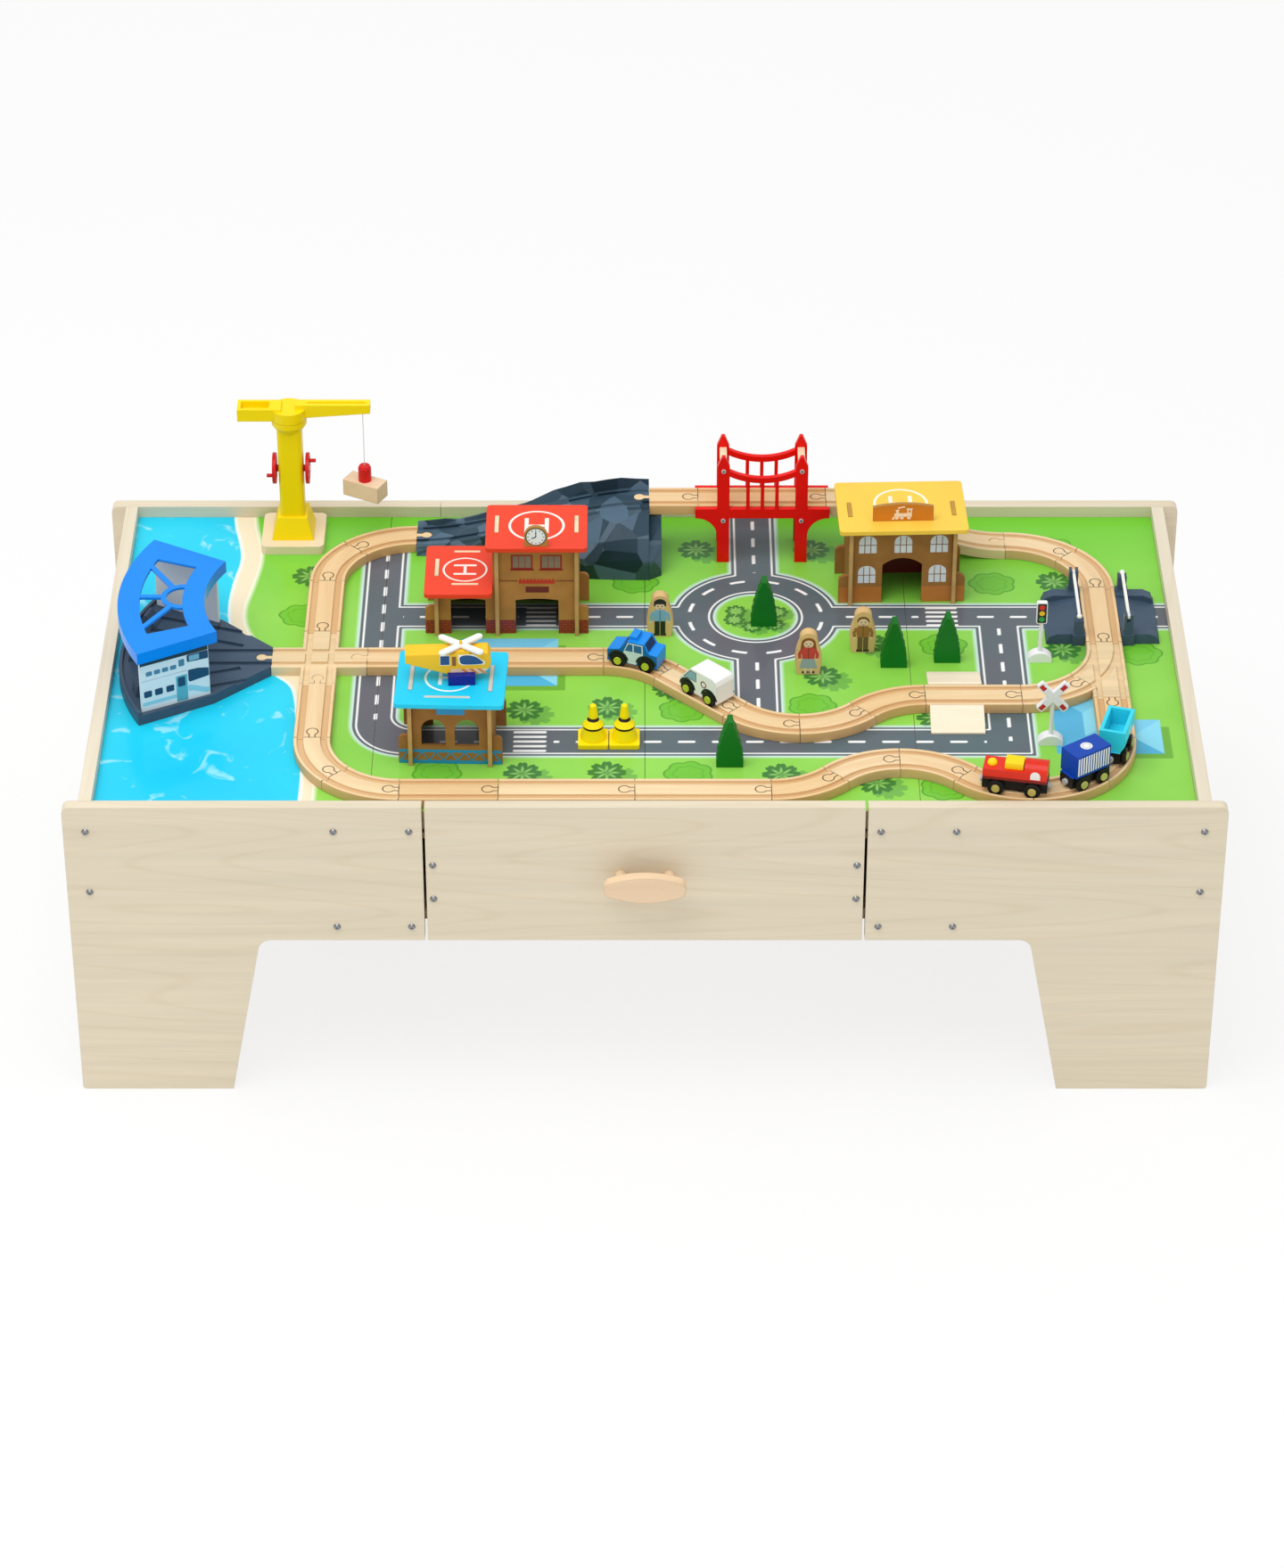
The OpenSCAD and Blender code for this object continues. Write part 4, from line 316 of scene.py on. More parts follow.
def bush_print(x, y):
    """Signed distances to the printed bushes: dark leaves, their shadows, the light ribs on them, and clouds.
    A flower bush has eight notched petals and pointed ribs; a cloud bush is a blob whose radius swells seven
    times round."""
    flowers = [
        (-382, 170), (-132, -105), (-41, -100), (-132, -228), (-41, -226), (59, 227), (192, 227), (467, 158),
        (467, 17), (251, 29), (197, -38), (147, -230), (249, -246), (318, -120), (29, -62),
    ]
    clouds = [
        (-386, 87), (-11, 157), (-224, -226), (396, 154), (551, 8), (334, 25), (184, -96), (42, -105),
        (47, -228), (322, -255), (470, 230),
    ]
    island = [(103, 96), (101, 78), (121, 64), (146, 68), (150, 94)]
    leaf, shadow, rib, cloud = (np.full(x.shape, FAR_OFF) for _ in range(4))

    def polar(cx, cy, size):
        return np.hypot(x - cx, y - cy) / size, np.arctan2(y - cy, x - cx)

    def lobes(cx, cy, size):
        r, a = polar(cx, cy, size)
        petal = np.abs(np.cos(4.0 * a))
        return (r - 11.0 - 11.5 * np.sqrt(petal) + 3.0 * petal ** 24) * size

    for (cx, cy), size, rib_w in [(c, 1.0, 1.5) for c in flowers] + [(c, 0.6, 2.7) for c in island]:
        leaf = np.minimum(leaf, lobes(cx, cy, size))
        shadow = np.minimum(shadow, lobes(cx + 12 * size, cy - 9 * size, size))
        r, a = polar(cx, cy, size)
        aside = r * np.abs(np.mod(a * 4 / math.pi + 0.5, 1.0) - 0.5) * math.pi / 4
        pointed = aside - rib_w * np.sin(np.clip((r - 1.0) / 15.0, 0, 1) * math.pi)
        rib = np.minimum(rib, pointed * size + FAR_OFF * (r > 16))
    for cx, cy in clouds:
        r, a = np.hypot((x - cx) / 1.15, y - cy), np.arctan2(y - cy, x - cx)
        cloud = np.minimum(cloud, r - 21.0 - 3.2 * np.abs(np.sin(a * 3.5 + cx)))
    return leaf, shadow, rib, cloud


def house_print(x, y):
    """Hipped roofs seen from above, one with a wing: the distance to their outline and to their shadow, which
    side of a hip a point lies on, and how far it is to the right of and above the middle."""
    houses = ((-205, -97, -57, 39), (447, 563, -190, -124), (447, 512, -190, -78))
    outline = [box_distance(x, y, *h) for h in houses]
    shade = [box_distance(x, y, x0 + 14, x1 + 9, y0 - 9, y1 - 14) for x0, x1, y0, y1 in houses]
    x0, x1, y0, y1 = np.array(houses, float)[np.argmin(outline, axis=0)].T
    dx, dy = x - (x0 + x1) / 2, y - (y0 + y1) / 2
    hip = ((x1 - x0) / 2 - np.abs(dx)) - ((y1 - y0) / 2 - np.abs(dy))
    return np.minimum.reduce(outline), np.minimum.reduce(shade), hip, dx, dy


def lattice(rows, cols, wrap=False):
    """Quads over a block of rows times cols points; wrap joins the last column to the first."""
    i, j = np.meshgrid(np.arange(rows - 1), np.arange(cols if wrap else cols - 1), indexing="ij")
    k = (j + 1) % cols
    here, above = i * cols, (i + 1) * cols
    return np.stack([here + j, here + k, above + k, above + j], -1).reshape(-1, 4)


def piece(name, points, faces, material, body="table", sharp=35.0):
    """A visual piece that rides a body: points in millimetres of the part frame, faces and a material."""
    mesh = bpy.data.meshes.new(name)
    mesh.from_pydata((np.asarray(points, float) / 1000.0).tolist(), [], faces)
    mesh.shade_smooth()
    mesh.set_sharp_from_angle(angle=math.radians(sharp))
    mesh.materials.append(material)
    made = bpy.data.objects.new(name, mesh)
    bpy.context.scene.collection.objects.link(made)
    if body:
        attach(made, body)
    return made


def carry(obj, name, values):
    """Stores a number or a vector for each point of a piece under a name that its material reads."""
    kind, field = ("FLOAT", "value") if values.ndim == 1 else ("FLOAT_VECTOR", "vector")
    layer = obj.data.attributes.new(name, kind, "POINT")
    layer.data.foreach_set(field, np.ascontiguousarray(values, np.float32).ravel())


def printed_material():
    """The map's ink: each mask is a stored distance passed through a narrow ramp, and the inks are laid over
    the grass one after another. A rim is the line at that depth inside a form."""
    material, tree, shader = blank("printed_board")
    spot = place(tree)

    def mask(name, edge=0.0, blur=0.7, share=1.0, rim=None):
        value = node(tree, "Attribute", attribute_name=name).outputs["Fac"]
        if rim is not None:
            value = math_node(tree, "ABSOLUTE", math_node(tree, "ADD", value, rim))
        return ramp(tree, value, edge + blur, edge - blur, 0.0, share)

    tone = shared(tree, mottle, {"Vector": spot, "Scale": 7.0})["Tone"]
    depth = ramp(tree, node(tree, "SeparateXYZ", {0: spot}).outputs["Y"], 0.1, 0.31)
    asphalt = mixed(tree, tone, "#576B70", "#65646D")
    slopes = mixed(tree, mask("house_y"), "#7ACDEE", "#4FB6DF")
    ends = mixed(tree, mask("house_x"), "#8ADAF3", "#56B5DE")
    roof = mixed(tree, mask("hip"), slopes, ends)
    sea = mixed(tree, noise(tree, spot, 5.0, 2.0), "#00B8EC", "#2CE2F4")
    streak = ramp(tree, noise(tree, spot, 26.0, 3.0, Distortion=1.4), 0.6, 0.68, 0.0, 0.55)
    sea = mixed(tree, streak, sea, "#B4F0FC")
    ink = mixed(tree, depth, mixed(tree, tone, "#97DA58", "#86CE48"), "#74CC34")
    for colour, *form in (
        ("#72C438", "cloud"), ("#46902E", "cloud", 0.7, 0.7, 0.85, 1.0),
        ("#46902E", "cloud", 0.7, 0.7, 0.4, 9.0), ("#4F9448", "shadow", 0.0, 0.7, 0.55),
        ("#3F7F36", "leaf"), ("#8FCB66", "rib"),
        ("#D9EEF0", "road", 3.2, 2.2, 0.85), (asphalt, "road"), ("#F4F7F6", "road", 1.1, 0.6, 1.0, 4.5),
        ("#F8F9F8", "marks", 0.0, 0.6), ("#5E9E30", "house_shadow", 0.0, 0.7, 0.7), (roof, "house"),
        ("#FFF8E8", "sand", 3.0, 3.0), ("#F3E5C6", "sand"), ("#E9FAFC", "water", 3.0, 2.0), (sea, "water"),
    ):
        ink = mixed(tree, mask(*form), ink, colour)
    feed(tree, shader, {
        "Base Color": ink, "Normal": shared(tree, soft_edge, {"Radius": 0.0008})[0], "Roughness": 0.3,
        "Specular IOR Level": 0.15, "Coat Weight": 0.2, "Coat Roughness": 0.06,
    })
    return material


def printed_boards():
    """Four flat boxes: a fine grid on top that carries the distances of the print, and a skirt and floor."""
    ink = printed_material()
    water_edge = chaikin([
        (-800, 500), (-486, 500), (-480, 298), (-466, 233), (-463, 200), (-470, 158), (-473, 96), (-462, 30),
        (-412, -36), (-393, -54), (-386, -80), (-380, -150), (-370, -221), (-372, -320),
        (-372, -500), (-800, -500),
    ])
    sand_edge = chaikin([
        (-800, 500), (-462, 500), (-457, 298), (-443, 233), (-441, 200), (-447, 150), (-457, 87), (-440, 30),
        (-395, -22), (-376, -45), (-370, -80), (-366, -150), (-356, -221), (-357, -320),
        (-357, -500), (-800, -500),
    ])
    seams = (-589.05, -294.5, 0.0, 294.5, 589.05)
    rows, cols, half_gap, half_depth = 301, 150, 0.25, 298.75
    ys = np.linspace(-half_depth, half_depth, rows)
    ring = np.concatenate([
        np.arange(cols), np.arange(1, rows) * cols + cols - 1,
        (rows - 1) * cols + np.arange(cols - 2, -1, -1), np.arange(rows - 2, 0, -1) * cols,
    ])
    low = rows * cols + np.arange(len(ring))
    skirt = np.stack([low, np.roll(low, -1), np.roll(ring, -1), ring], 1)
    faces = lattice(rows, cols).tolist() + skirt.tolist() + [low[::-1].tolist()]
    bare = np.zeros(len(faces), np.int32)
    bare[(rows - 1) * (cols - 1):] = 1
    for k in range(4):
        y, x = np.meshgrid(ys, np.linspace(seams[k] + half_gap, seams[k + 1] - half_gap, cols), indexing="ij")
        x, y = (np.concatenate([v.ravel(), v.ravel()[ring]]) for v in (x, y))
        z = np.where(np.arange(len(x)) < rows * cols, BOARD_Z, BOARD_Z - BOARD_T)
        board = piece(f"play_board_{k}", np.stack([x, y + SHIFT_Y, z], 1), faces, ink, sharp=30.0)
        board.data.materials.append(bare_wood)
        board.data.polygons.foreach_set("material_index", bare)
        shores = outline_distance(x, y, water_edge), outline_distance(x, y, sand_edge)
        for name, values in zip(
            ("road", "marks", "leaf", "shadow", "rib", "cloud",
             "house", "house_shadow", "hip", "house_x", "house_y", "water", "sand"),
            (*road_print(x, y), *bush_print(x, y), *house_print(x, y), *shores),
        ):
            carry(board, name, np.clip(values, -60, 60))
        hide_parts("play_boards")


printed_boards()

# Drawer: a front panel, two sides, a back and a thin bottom, with an oval wooden handle on two posts.
# It slides on runners under its sides; screws hold the front to the sides.
dress(panel_foil, "drawer_front")
dress(bare_wood, "drawer_box", "drawer_bottom")
handle_wood = surface(
    "handle_wood", "#F0D3B0", 0.45, "drawer_handle", stretch=(4.0, 50.0, 50.0), depth=0.12, edge=2.0
)

# Track: short wooden pieces with two milled grooves, each with a peg that fills the keyhole of the next.
# Beech, lying loose on the boards and held together by the pegs.
CURVE_R = 98.5
DECK_LIFT = 60.0
TRACK_H = 12.0


def walk(x, y, heading, steps):
    """The poses of a run of track: a number goes that far straight on, 'L' and 'R' turn by an eighth of a
    circle."""
    run = []
    for step in steps:
        run.append((x, y, heading, step))
        a = math.radians(heading)
        if step in ("L", "R"):
            s = CURVE_R if step == "L" else -CURVE_R
            heading += math.copysign(45, s)
            b = math.radians(heading)
            x, y = x + s * (math.sin(b) - math.sin(a)), y - s * (math.cos(b) - math.cos(a))
        else:
            x, y = x + step * math.cos(a), y + step * math.sin(a)
    return run


def rounded(points, radius, steps=4):
    """A closed outline with round corners: each corner is a quadratic bend between points a radius away along
    its sides."""
    p = np.asarray(points, float)
    back, on = np.roll(p, 1, axis=0) - p, np.roll(p, -1, axis=0) - p
    lb, lo = np.linalg.norm(back, axis=1), np.linalg.norm(on, axis=1)
    r = np.minimum(radius, 0.45 * np.minimum(lb, lo))[:, None]
    a, b = p + back / lb[:, None] * r, p + on / lo[:, None] * r
    t = np.linspace(0, 1, steps)[None, :, None]
    return ((1 - t) ** 2 * a[:, None] + 2 * t * (1 - t) * p[:, None] + t ** 2 * b[:, None]).reshape(-1, 2)


def tube(rows, cols):
    """Faces of a tube of rows rings of cols points each, with flat caps."""
    last = (rows - 1) * cols + np.arange(cols)
    return lattice(rows, cols, True)[:, ::-1].tolist() + [list(range(cols)), last[::-1].tolist()]


def wooden_track_material():
    """Beech: grain in each piece's own frame, a tone for each piece, painted shade on the sides and in the
    grooves, and the dark line of the keyhole at its start. The keyhole is a disc and a neck, and the line is
    where the distance to both is near nought."""
    material, tree, shader = blank("track_beech")
    knob_u, knob_r, half_neck = 11.3, 6.2, 3.2

    def stored(name):
        return node(tree, "Attribute", attribute_name=name).outputs

    def calc(operation, a, b=0.0):
        return math_node(tree, operation, a, b)

    tex = shared(tree, grain, {"Vector": stored("own")["Vector"], "Stretch": (5.0, 90.0, 90.0)})
    u, v, z = node(tree, "SeparateXYZ", {0: stored("spot")["Vector"]}).outputs
    wide = calc("ABSOLUTE", v)
    # Painted shade: the sides of each track darker, and the groove floors darker, for the shade that falls
    # there.
    side_shade = ramp(tree, wide, 19.3, 19.7, 0.0, 0.6)
    groove_shade = calc("MULTIPLY", ramp(tree, z, 11.6, 9.4, 0.0, 0.5), calc("LESS_THAN", wide, 19.0))
    du = calc("SUBTRACT", u, knob_u)
    flat = node(tree, "CombineXYZ", {0: du, 1: v}).outputs[0]
    reach = node(tree, "VectorMath", {0: flat}, operation="LENGTH").outputs["Value"]
    neck = calc("MAXIMUM", calc("SUBTRACT", wide, half_neck), du)
    line = calc("ABSOLUTE", calc("MINIMUM", calc("SUBTRACT", reach, knob_r), neck))
    line = calc("MINIMUM", line, calc("MAXIMUM", u, 0.0))
    top = calc("MULTIPLY", ramp(tree, z, 11.0, 11.6), calc("GREATER_THAN", u, -1.0))
    line = calc("MULTIPLY", ramp(tree, line, 0.85, 0.45, 0.0, 0.9), top)
    wood = mixed(tree, stored("tint")["Fac"], "#F3DAB0", "#EAC895")
    for share, colour in (
        (calc("MULTIPLY", tex["Tone"], 0.4), "#D3A76F"), (side_shade, "#CB9A58"), (groove_shade, "#C4935A"),
        (line, "#2E1A0A"),
    ):
        wood = mixed(tree, share, wood, colour)
    normal = relief(tree, 0.12, tex["Pores"], 0.5)
    feed(tree, shader, {"Base Color": wood, "Normal": normal, "Roughness": 0.5, "Specular IOR Level": 0.25})
    return material


track_beech = wooden_track_material()


def wooden(name, points, faces, own, spot, tint, stands_for):
    """A piece of beech with its own frame for the grain, its places for the keyhole, and its tone."""
    made = piece(name, points, faces, track_beech, sharp=40.0)
    carry(made, "own", own)
    carry(made, "spot", spot)
    carry(made, "tint", np.full(len(points), tint))
    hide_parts(stands_for)


def track_pieces():
    """Every plain track: the grooved section, with soft edges, swept along its line.
    The turned ones were laid against the walk, so their keyhole is at its far end."""
    rng = np.random.default_rng(5)
    half = [(20, 0), (20, TRACK_H), (16.25, TRACK_H), (16.25, 9), (9.25, 9), (9.25, TRACK_H)]
    section = rounded(half + [(-y, z) for y, z in half[::-1]], 0.9)
    across, up = section.T
    turned = walk(-361.05, -70, -90, [106, "L", "L", 106, 146, 146, "L", "R", "R", "L", "L", "L", 79])
    turned += walk(-262.55, 240.5, 180, ["L", "L", 106])
    turned += walk(-308.05, -17, 0, [116.5, 146, "R", 106, "L", "L", "R", 106, "L"])
    onward = walk(512.55, 14.05, 90, [114, "L", "L"])
    deck = walk(207.05, 226.55, 180, [146, 56])
    for k, (x, y, heading, step) in enumerate(turned + onward + deck):
        a0 = math.radians(heading)
        curved = step in ("L", "R")
        s = -CURVE_R if step == "R" else CURVE_R
        length = CURVE_R * math.pi / 4 if curved else step
        u = np.linspace(0.25, length - 0.25, 25 if curved else 9)
        if curved:
            a = a0 + u / s
            px, py = x + s * (np.sin(a) - math.sin(a0)), y - s * (np.cos(a) - math.cos(a0))
        else:
            a = np.full_like(u, a0)
            px, py = x + u * math.cos(a0), y + u * math.sin(a0)
        lift = DECK_LIFT if k >= len(turned + onward) else 0.0
        path = np.stack([px, py + SHIFT_Y, np.full_like(u, BOARD_Z + lift)], 1)
        side = np.stack([-np.sin(a), np.cos(a), np.zeros_like(a)], 1)
        points = path[:, None] + across[:, None] * side[:, None] + up[:, None] * np.array([0, 0, 1.0])
        points = points.reshape(-1, 3)
        mid = a[len(a) // 2]
        fx, fy, fz = (points - path[len(path) // 2]).T
        c, t = math.cos(mid), math.sin(mid)
        own = np.stack([fx * c + fy * t, fy * c - fx * t, fz], 1)
        key = length - u if k < len(turned) else u
        spot = np.stack([np.repeat(key, len(section)), np.tile(across, len(u)), np.tile(up, len(u))], 1)
        wooden(
            f"track_{k}", points, tube(len(u), len(section)), own / 1000.0 + rng.uniform(-3, 3, 3), spot,
            rng.uniform(0, 1), "curved_tracks" if curved else "straight_tracks",
        )


track_pieces()


def settle(points, pose):
    """Points of a thing's own frame, turned and moved to its pose: x, y and a turn in degrees."""
    c, s = math.cos(math.radians(pose[2])), math.sin(math.radians(pose[2]))
    x, y, z = points.T
    return np.stack([pose[0] + c * x - s * y, pose[1] + SHIFT_Y + s * x + c * y, BOARD_Z + z], 1)


def bow(cx, cy, r, start, stop, count=40):
    """Points along an arc about a centre, from one angle to another in degrees."""
    a = np.radians(np.linspace(start, stop, count))
    return np.stack([cx + r * np.cos(a), cy + r * np.sin(a)], 1)


def prism(outline, low, high):
    """A closed slab: an outline at two heights, joined and capped; one drawn clockwise is turned about."""
    o = np.asarray(outline, float)
    x, y = o.T
    if np.sum(x * np.roll(y, -1) - y * np.roll(x, -1)) < 0:
        o = o[::-1]
    n = len(o)
    k = np.arange(n)
    nxt = np.roll(k, -1)
    points = np.concatenate([np.c_[o, np.full(n, high)], np.c_[o, np.full(n, low)]])
    return points, np.stack([k + n, nxt + n, nxt, k], 1).tolist() + [k.tolist(), (k[::-1] + n).tolist()]


def peg_pieces():
    """Pegs of the swept tracks in the keyholes of their neighbours: a knob and its neck in one outline,
    nearly as high as the track."""
    outline = np.concatenate([[(-0.6, -3.0)], bow(11.25, 0, 6.0, -150, 150), [(-0.6, 3.0)]])
    for k, (x, y, heading, lift, stands_for) in enumerate((
        (-308.05, -17, 180, 0, "straight_tracks"), (-361.05, -70, 90, 0, "straight_tracks"),
        (-262.55, 240.5, 0, 0, "curved_tracks"), (414.05, 226.55, 180, 0, "curved_tracks"),
        (5.05, 226.55, 180, DECK_LIFT, "straight_tracks"),
    )):
        points, faces = prism(outline, lift + 0.2, lift + TRACK_H - 0.3)
        wooden(
            f"track_peg_{k}", settle(points, (x, y, heading)), faces, points / 1000.0 + k,
            np.tile((-50.0, 0.0, TRACK_H), (len(points), 1)), 0.3, stands_for,
        )


peg_pieces()
along_track = (5.0, 60.0, 60.0)
surface(
    "track_wood", "#F0D5A8", 0.5, "junction_tracks", "ascending_track",
    stretch=along_track, depth=0.2, bump=0.1, edge=0.7,
)
surface("ramp_wood", "#FAEBD0", 0.5, "road_ramps", stretch=along_track, depth=0.1, bump=0.08, edge=0.7)

# Mountain: one moulded plastic rock with a track over it.
# It stands on the boards between the low track and the deck.


def rock_material():
    """Slate plastic in facets: each Voronoi cell tips the normal its own way and has its own tone."""
    material, tree, shader = blank("slate_rock")
    cells = node(tree, "TexVoronoi", {"Vector": place(tree), "Scale": 34.0, "Randomness": 1.0})
    cell = cells.outputs["Color"]
    tip = vector_node(tree, "SUBTRACT", cell, (0.5, 0.5, 0.5))
    tip = vector_node(tree, "MULTIPLY", tip, (1.1, 1.1, 1.1))
    tipped = vector_node(tree, "ADD", shared(tree, soft_edge, {"Radius": 0.001})[0], tip)
    shade = node(tree, "SeparateColor", {0: cell}).outputs[0]
    feed(tree, shader, {
        "Base Color": mixed(tree, shade, "#243C4A", "#587286"), "Roughness": 0.42, "Specular IOR Level": 0.3,
        "Normal": vector_node(tree, "NORMALIZE", tipped),
    })
    return material


dress(rock_material(), "mountain")

# Bridge: two flat red sides with towers, bolted to wooden bars under the deck and between the tower tops.
# It stands on the boards over the road, and the deck track lies in it.

# One inside a box given by its low and high corners, nought outside
inside_box, given, made = group(
    "inside_box",
    [(title, "Vector", (0, 0, 0)) for title in ("Vector", "Low", "High")],
    [("Mask", "Float")],
)
above = vector_node(inside_box, "SUBTRACT", given["Vector"], given["Low"])
below = vector_node(inside_box, "SUBTRACT", given["High"], given["Vector"])
side = node(inside_box, "SeparateXYZ", {0: vector_node(inside_box, "MINIMUM", above, below)}).outputs
inward = math_node(inside_box, "MINIMUM", math_node(inside_box, "MINIMUM", side[0], side[1]), side[2])
feed(inside_box, made, {"Mask": math_node(inside_box, "GREATER_THAN", inward, 0.0)})


def paint(material, pose, *zones):
    """Paints boxes on a material: each zone is a low and a high corner in millimetres of the pose's own
    frame, and a colour."""
    tree = material.node_tree
    tone = tree.nodes["tone"].inputs[6]
    ink = tone.links[0].from_socket if tone.is_linked else tuple(tone.default_value)
    own = node(tree, "Mapping", {
        "Vector": place(tree), "Rotation": (0, 0, math.radians(pose[2])),
        "Location": (pose[0] / 1000.0, (pose[1] + SHIFT_Y) / 1000.0, BOARD_Z / 1000.0),
    }, vector_type="TEXTURE").outputs[0]
    for low, high, colour in zones:
        low, high = (tuple(c / 1000.0 for c in corner) for corner in (low, high))
        mask = shared(tree, inside_box, {"Vector": own, "Low": low, "High": high})[0]
        ink = mixed(tree, mask, ink, colour)
    tree.links.new(ink, tone)


def ink_material():
    """Printing ink: the colour stored at each point, a little darker in soft clouds."""
    material, tree, shader = blank("printing_ink")
    cloud = shared(tree, mottle, {"Vector": place(tree), "Scale": 40.0})
    stored = node(tree, "Attribute", attribute_name="ink").outputs["Color"]
    tone = mixed(tree, cloud["Tone"], stored, (0.9, 0.9, 0.9, 1.0), "MULTIPLY")
    feed(tree, shader, {"Base Color": tone, "Roughness": ramp(tree, cloud["Skin"], 0.0, 1.0, 0.36, 0.5)})
    return material


printing_ink = ink_material()
INK_ROOT, INK_RISE, INK_STEP = -0.4, 0.08, 0.05


def prints(name, pose, face, slot, *layers, flat=False):
    """Ink on a face as thin closed plates: each layer is a colour and its outlines, a hair above the last.
    The face is the plane y = face of the pose's frame, seen from its front, or z = face where it is flat."""
    points, faces, colours, count = [], [], [], 0
    for rank, (colour, outlines) in enumerate(layers):
        for outline in outlines:
            spot, quads = prism(outline, INK_ROOT, INK_RISE + INK_STEP * rank)
            points.append(spot if flat else spot[:, [0, 2, 1]] * (1, -1, 1))
            faces += [[i + count for i in quad] for quad in quads]
            colours.append(np.tile(linear(colour)[:3], (len(spot), 1)))
            count += len(spot)
    lift = (0, 0, face) if flat else (0, face, 0)
    made = piece(name, settle(np.concatenate(points) + lift, pose), faces, printing_ink, sharp=20.0)
    carry(made, "ink", np.concatenate(colours))


def rect(x0, x1, y0, y1):
    """An upright rectangle as an outline."""
    return np.array([(x0, y0), (x1, y0), (x1, y1), (x0, y1)], float)


def disc(cx, cy, r):
    """A round outline."""
    return bow(cx, cy, r, 0, 360)[:-1]


def ribbon(path, width):
    """A pen line: the path's points moved half a width to its left, and back along its right."""
    p = np.asarray(path, float)
    d = np.gradient(p, axis=0)
    n = np.stack([-d[:, 1], d[:, 0]], 1) / np.linalg.norm(d, axis=1)[:, None] * width / 2
    return np.concatenate([p + n, (p - n)[::-1]])


def ring(cx, cy, r, width):
    """A circle drawn with a pen, in two halves."""
    return [ribbon(bow(cx, cy, r, start, start + 180), width) for start in (0, 180)]


BRIDGE = (134.05, 226.55, 0.0)
bolt_tone = "#C4C7C9"
bar_wood = surface("bar_wood", "#F3DDB8", 0.5, "bridge_bars", stretch=(60.0, 6.0, 60.0), depth=0.15)
paint(
    bar_wood, BRIDGE,
    ((-60, -29, 0), (60, -26.45, 150), bolt_tone), ((-60, 26.45, 0), (60, 29, 150), bolt_tone),
)
surface("red_paint", "#F20200", 0.36, "bridge_sides", scale=18.0, depth=0.1, coat=0.03, edge=0.8)
# Dark discs at the bolts on the front side: painted shade in their sockets.
recess_shades = [disc(x, z, 1.2) for x in (-44.5, 44.5) for z in (56.0, 121.5)]
prints("bolt_socket_shades", BRIDGE, -27.7, "screw_steel", ("#3A342C", recess_shades))

# Castle: brown fibreboard walls that slot together, red painted roofs and a clock board.
# It stands loose on the boards; the tabs of the cross walls show in the roofs.
CASTLE, STATION, KIOSK = (-165.05, 50.0, 0.0), (290.55, 115.05, 1.8), (-209.55, -209.0, -1.8)
edge_tone, tab_tone, kiosk_tab = "#CBA468", "#F4DCB6", "#D2D1C8"
wall_board = surface(
    "wall_board", "#A5733B", 0.62, "castle_walls", "station_walls", "kiosk_walls",
    scale=60.0, depth=0.18, bump=0.12, edge=0.4,
)
# The first zone tints the whole castle a lighter brown than the station and kiosk: painted light, for the
# fuller light on the castle.
paint(
    wall_board, CASTLE,
    ((-110, -20, 0), (110, 100, 160), "#BC8645"), ((-72, -6.2, 0), (95, -5.95, 125), edge_tone),
    ((-75, -10, 64.05), (-60, 90, 67), tab_tone), ((-10, -10, 121.05), (100, 90, 125), tab_tone),
)
paint(
    wall_board, STATION,
    ((-62, -6.2, 0), (62, -5.95, 100), edge_tone), ((-62, -10, 103.05), (62, 80, 106), "#C79B45"),
)
paint(
    wall_board, KIOSK,
    ((-46, -6.2, 0), (46, -5.95, 82), edge_tone), ((-46, -10, 85.05), (46, 90, 88), kiosk_tab),
)
surface("sign_board", "#B98746", 0.55, "roof_signs", scale=60.0, depth=0.12, edge=0.5)
surface("red_roof", "#F04426", 0.4, "castle_roofs", scale=14.0, coat=0.06, edge=0.7)


def bricks(x0, x1, top):
    """A low course of bricks: rows of equal bricks, every other row half a brick on, cut at both ends."""
    row_h, length, joint = 3.5, 7.0, 0.7
    laid = []
    for row in range(int(top / row_h)):
        starts = np.arange(x0 - (row % 2) * length / 2, x1 - 1.0, length)
        low, high = row * row_h + 0.3, (row + 1) * row_h - joint
        laid += [
            rect(max(a, x0) + 0.2, min(a + length - joint, x1 - 0.2), low, high)
            for a in starts if min(a + length - joint, x1) - max(a, x0) > 1.2
        ]
    return laid


def helipad(cx, cy, r, sideways=False):
    """A ring with two bars joined by a third, in shares of the ring's radius."""
    bars = [rect(-0.45, -0.3, -0.53, 0.53), rect(0.3, 0.45, -0.53, 0.53), rect(-0.31, 0.31, -0.07, 0.07)]
    return ring(cx, cy, r, 0.095 * r) + [(b[:, ::-1] if sideways else b) * r + (cx, cy) for b in bars]


def zigzag(start, stop, count, low, high):
    """Points from start to stop that are low and high by turns."""
    return np.stack([np.linspace(start, stop, count), np.where(np.arange(count) % 2, high, low)], 1)


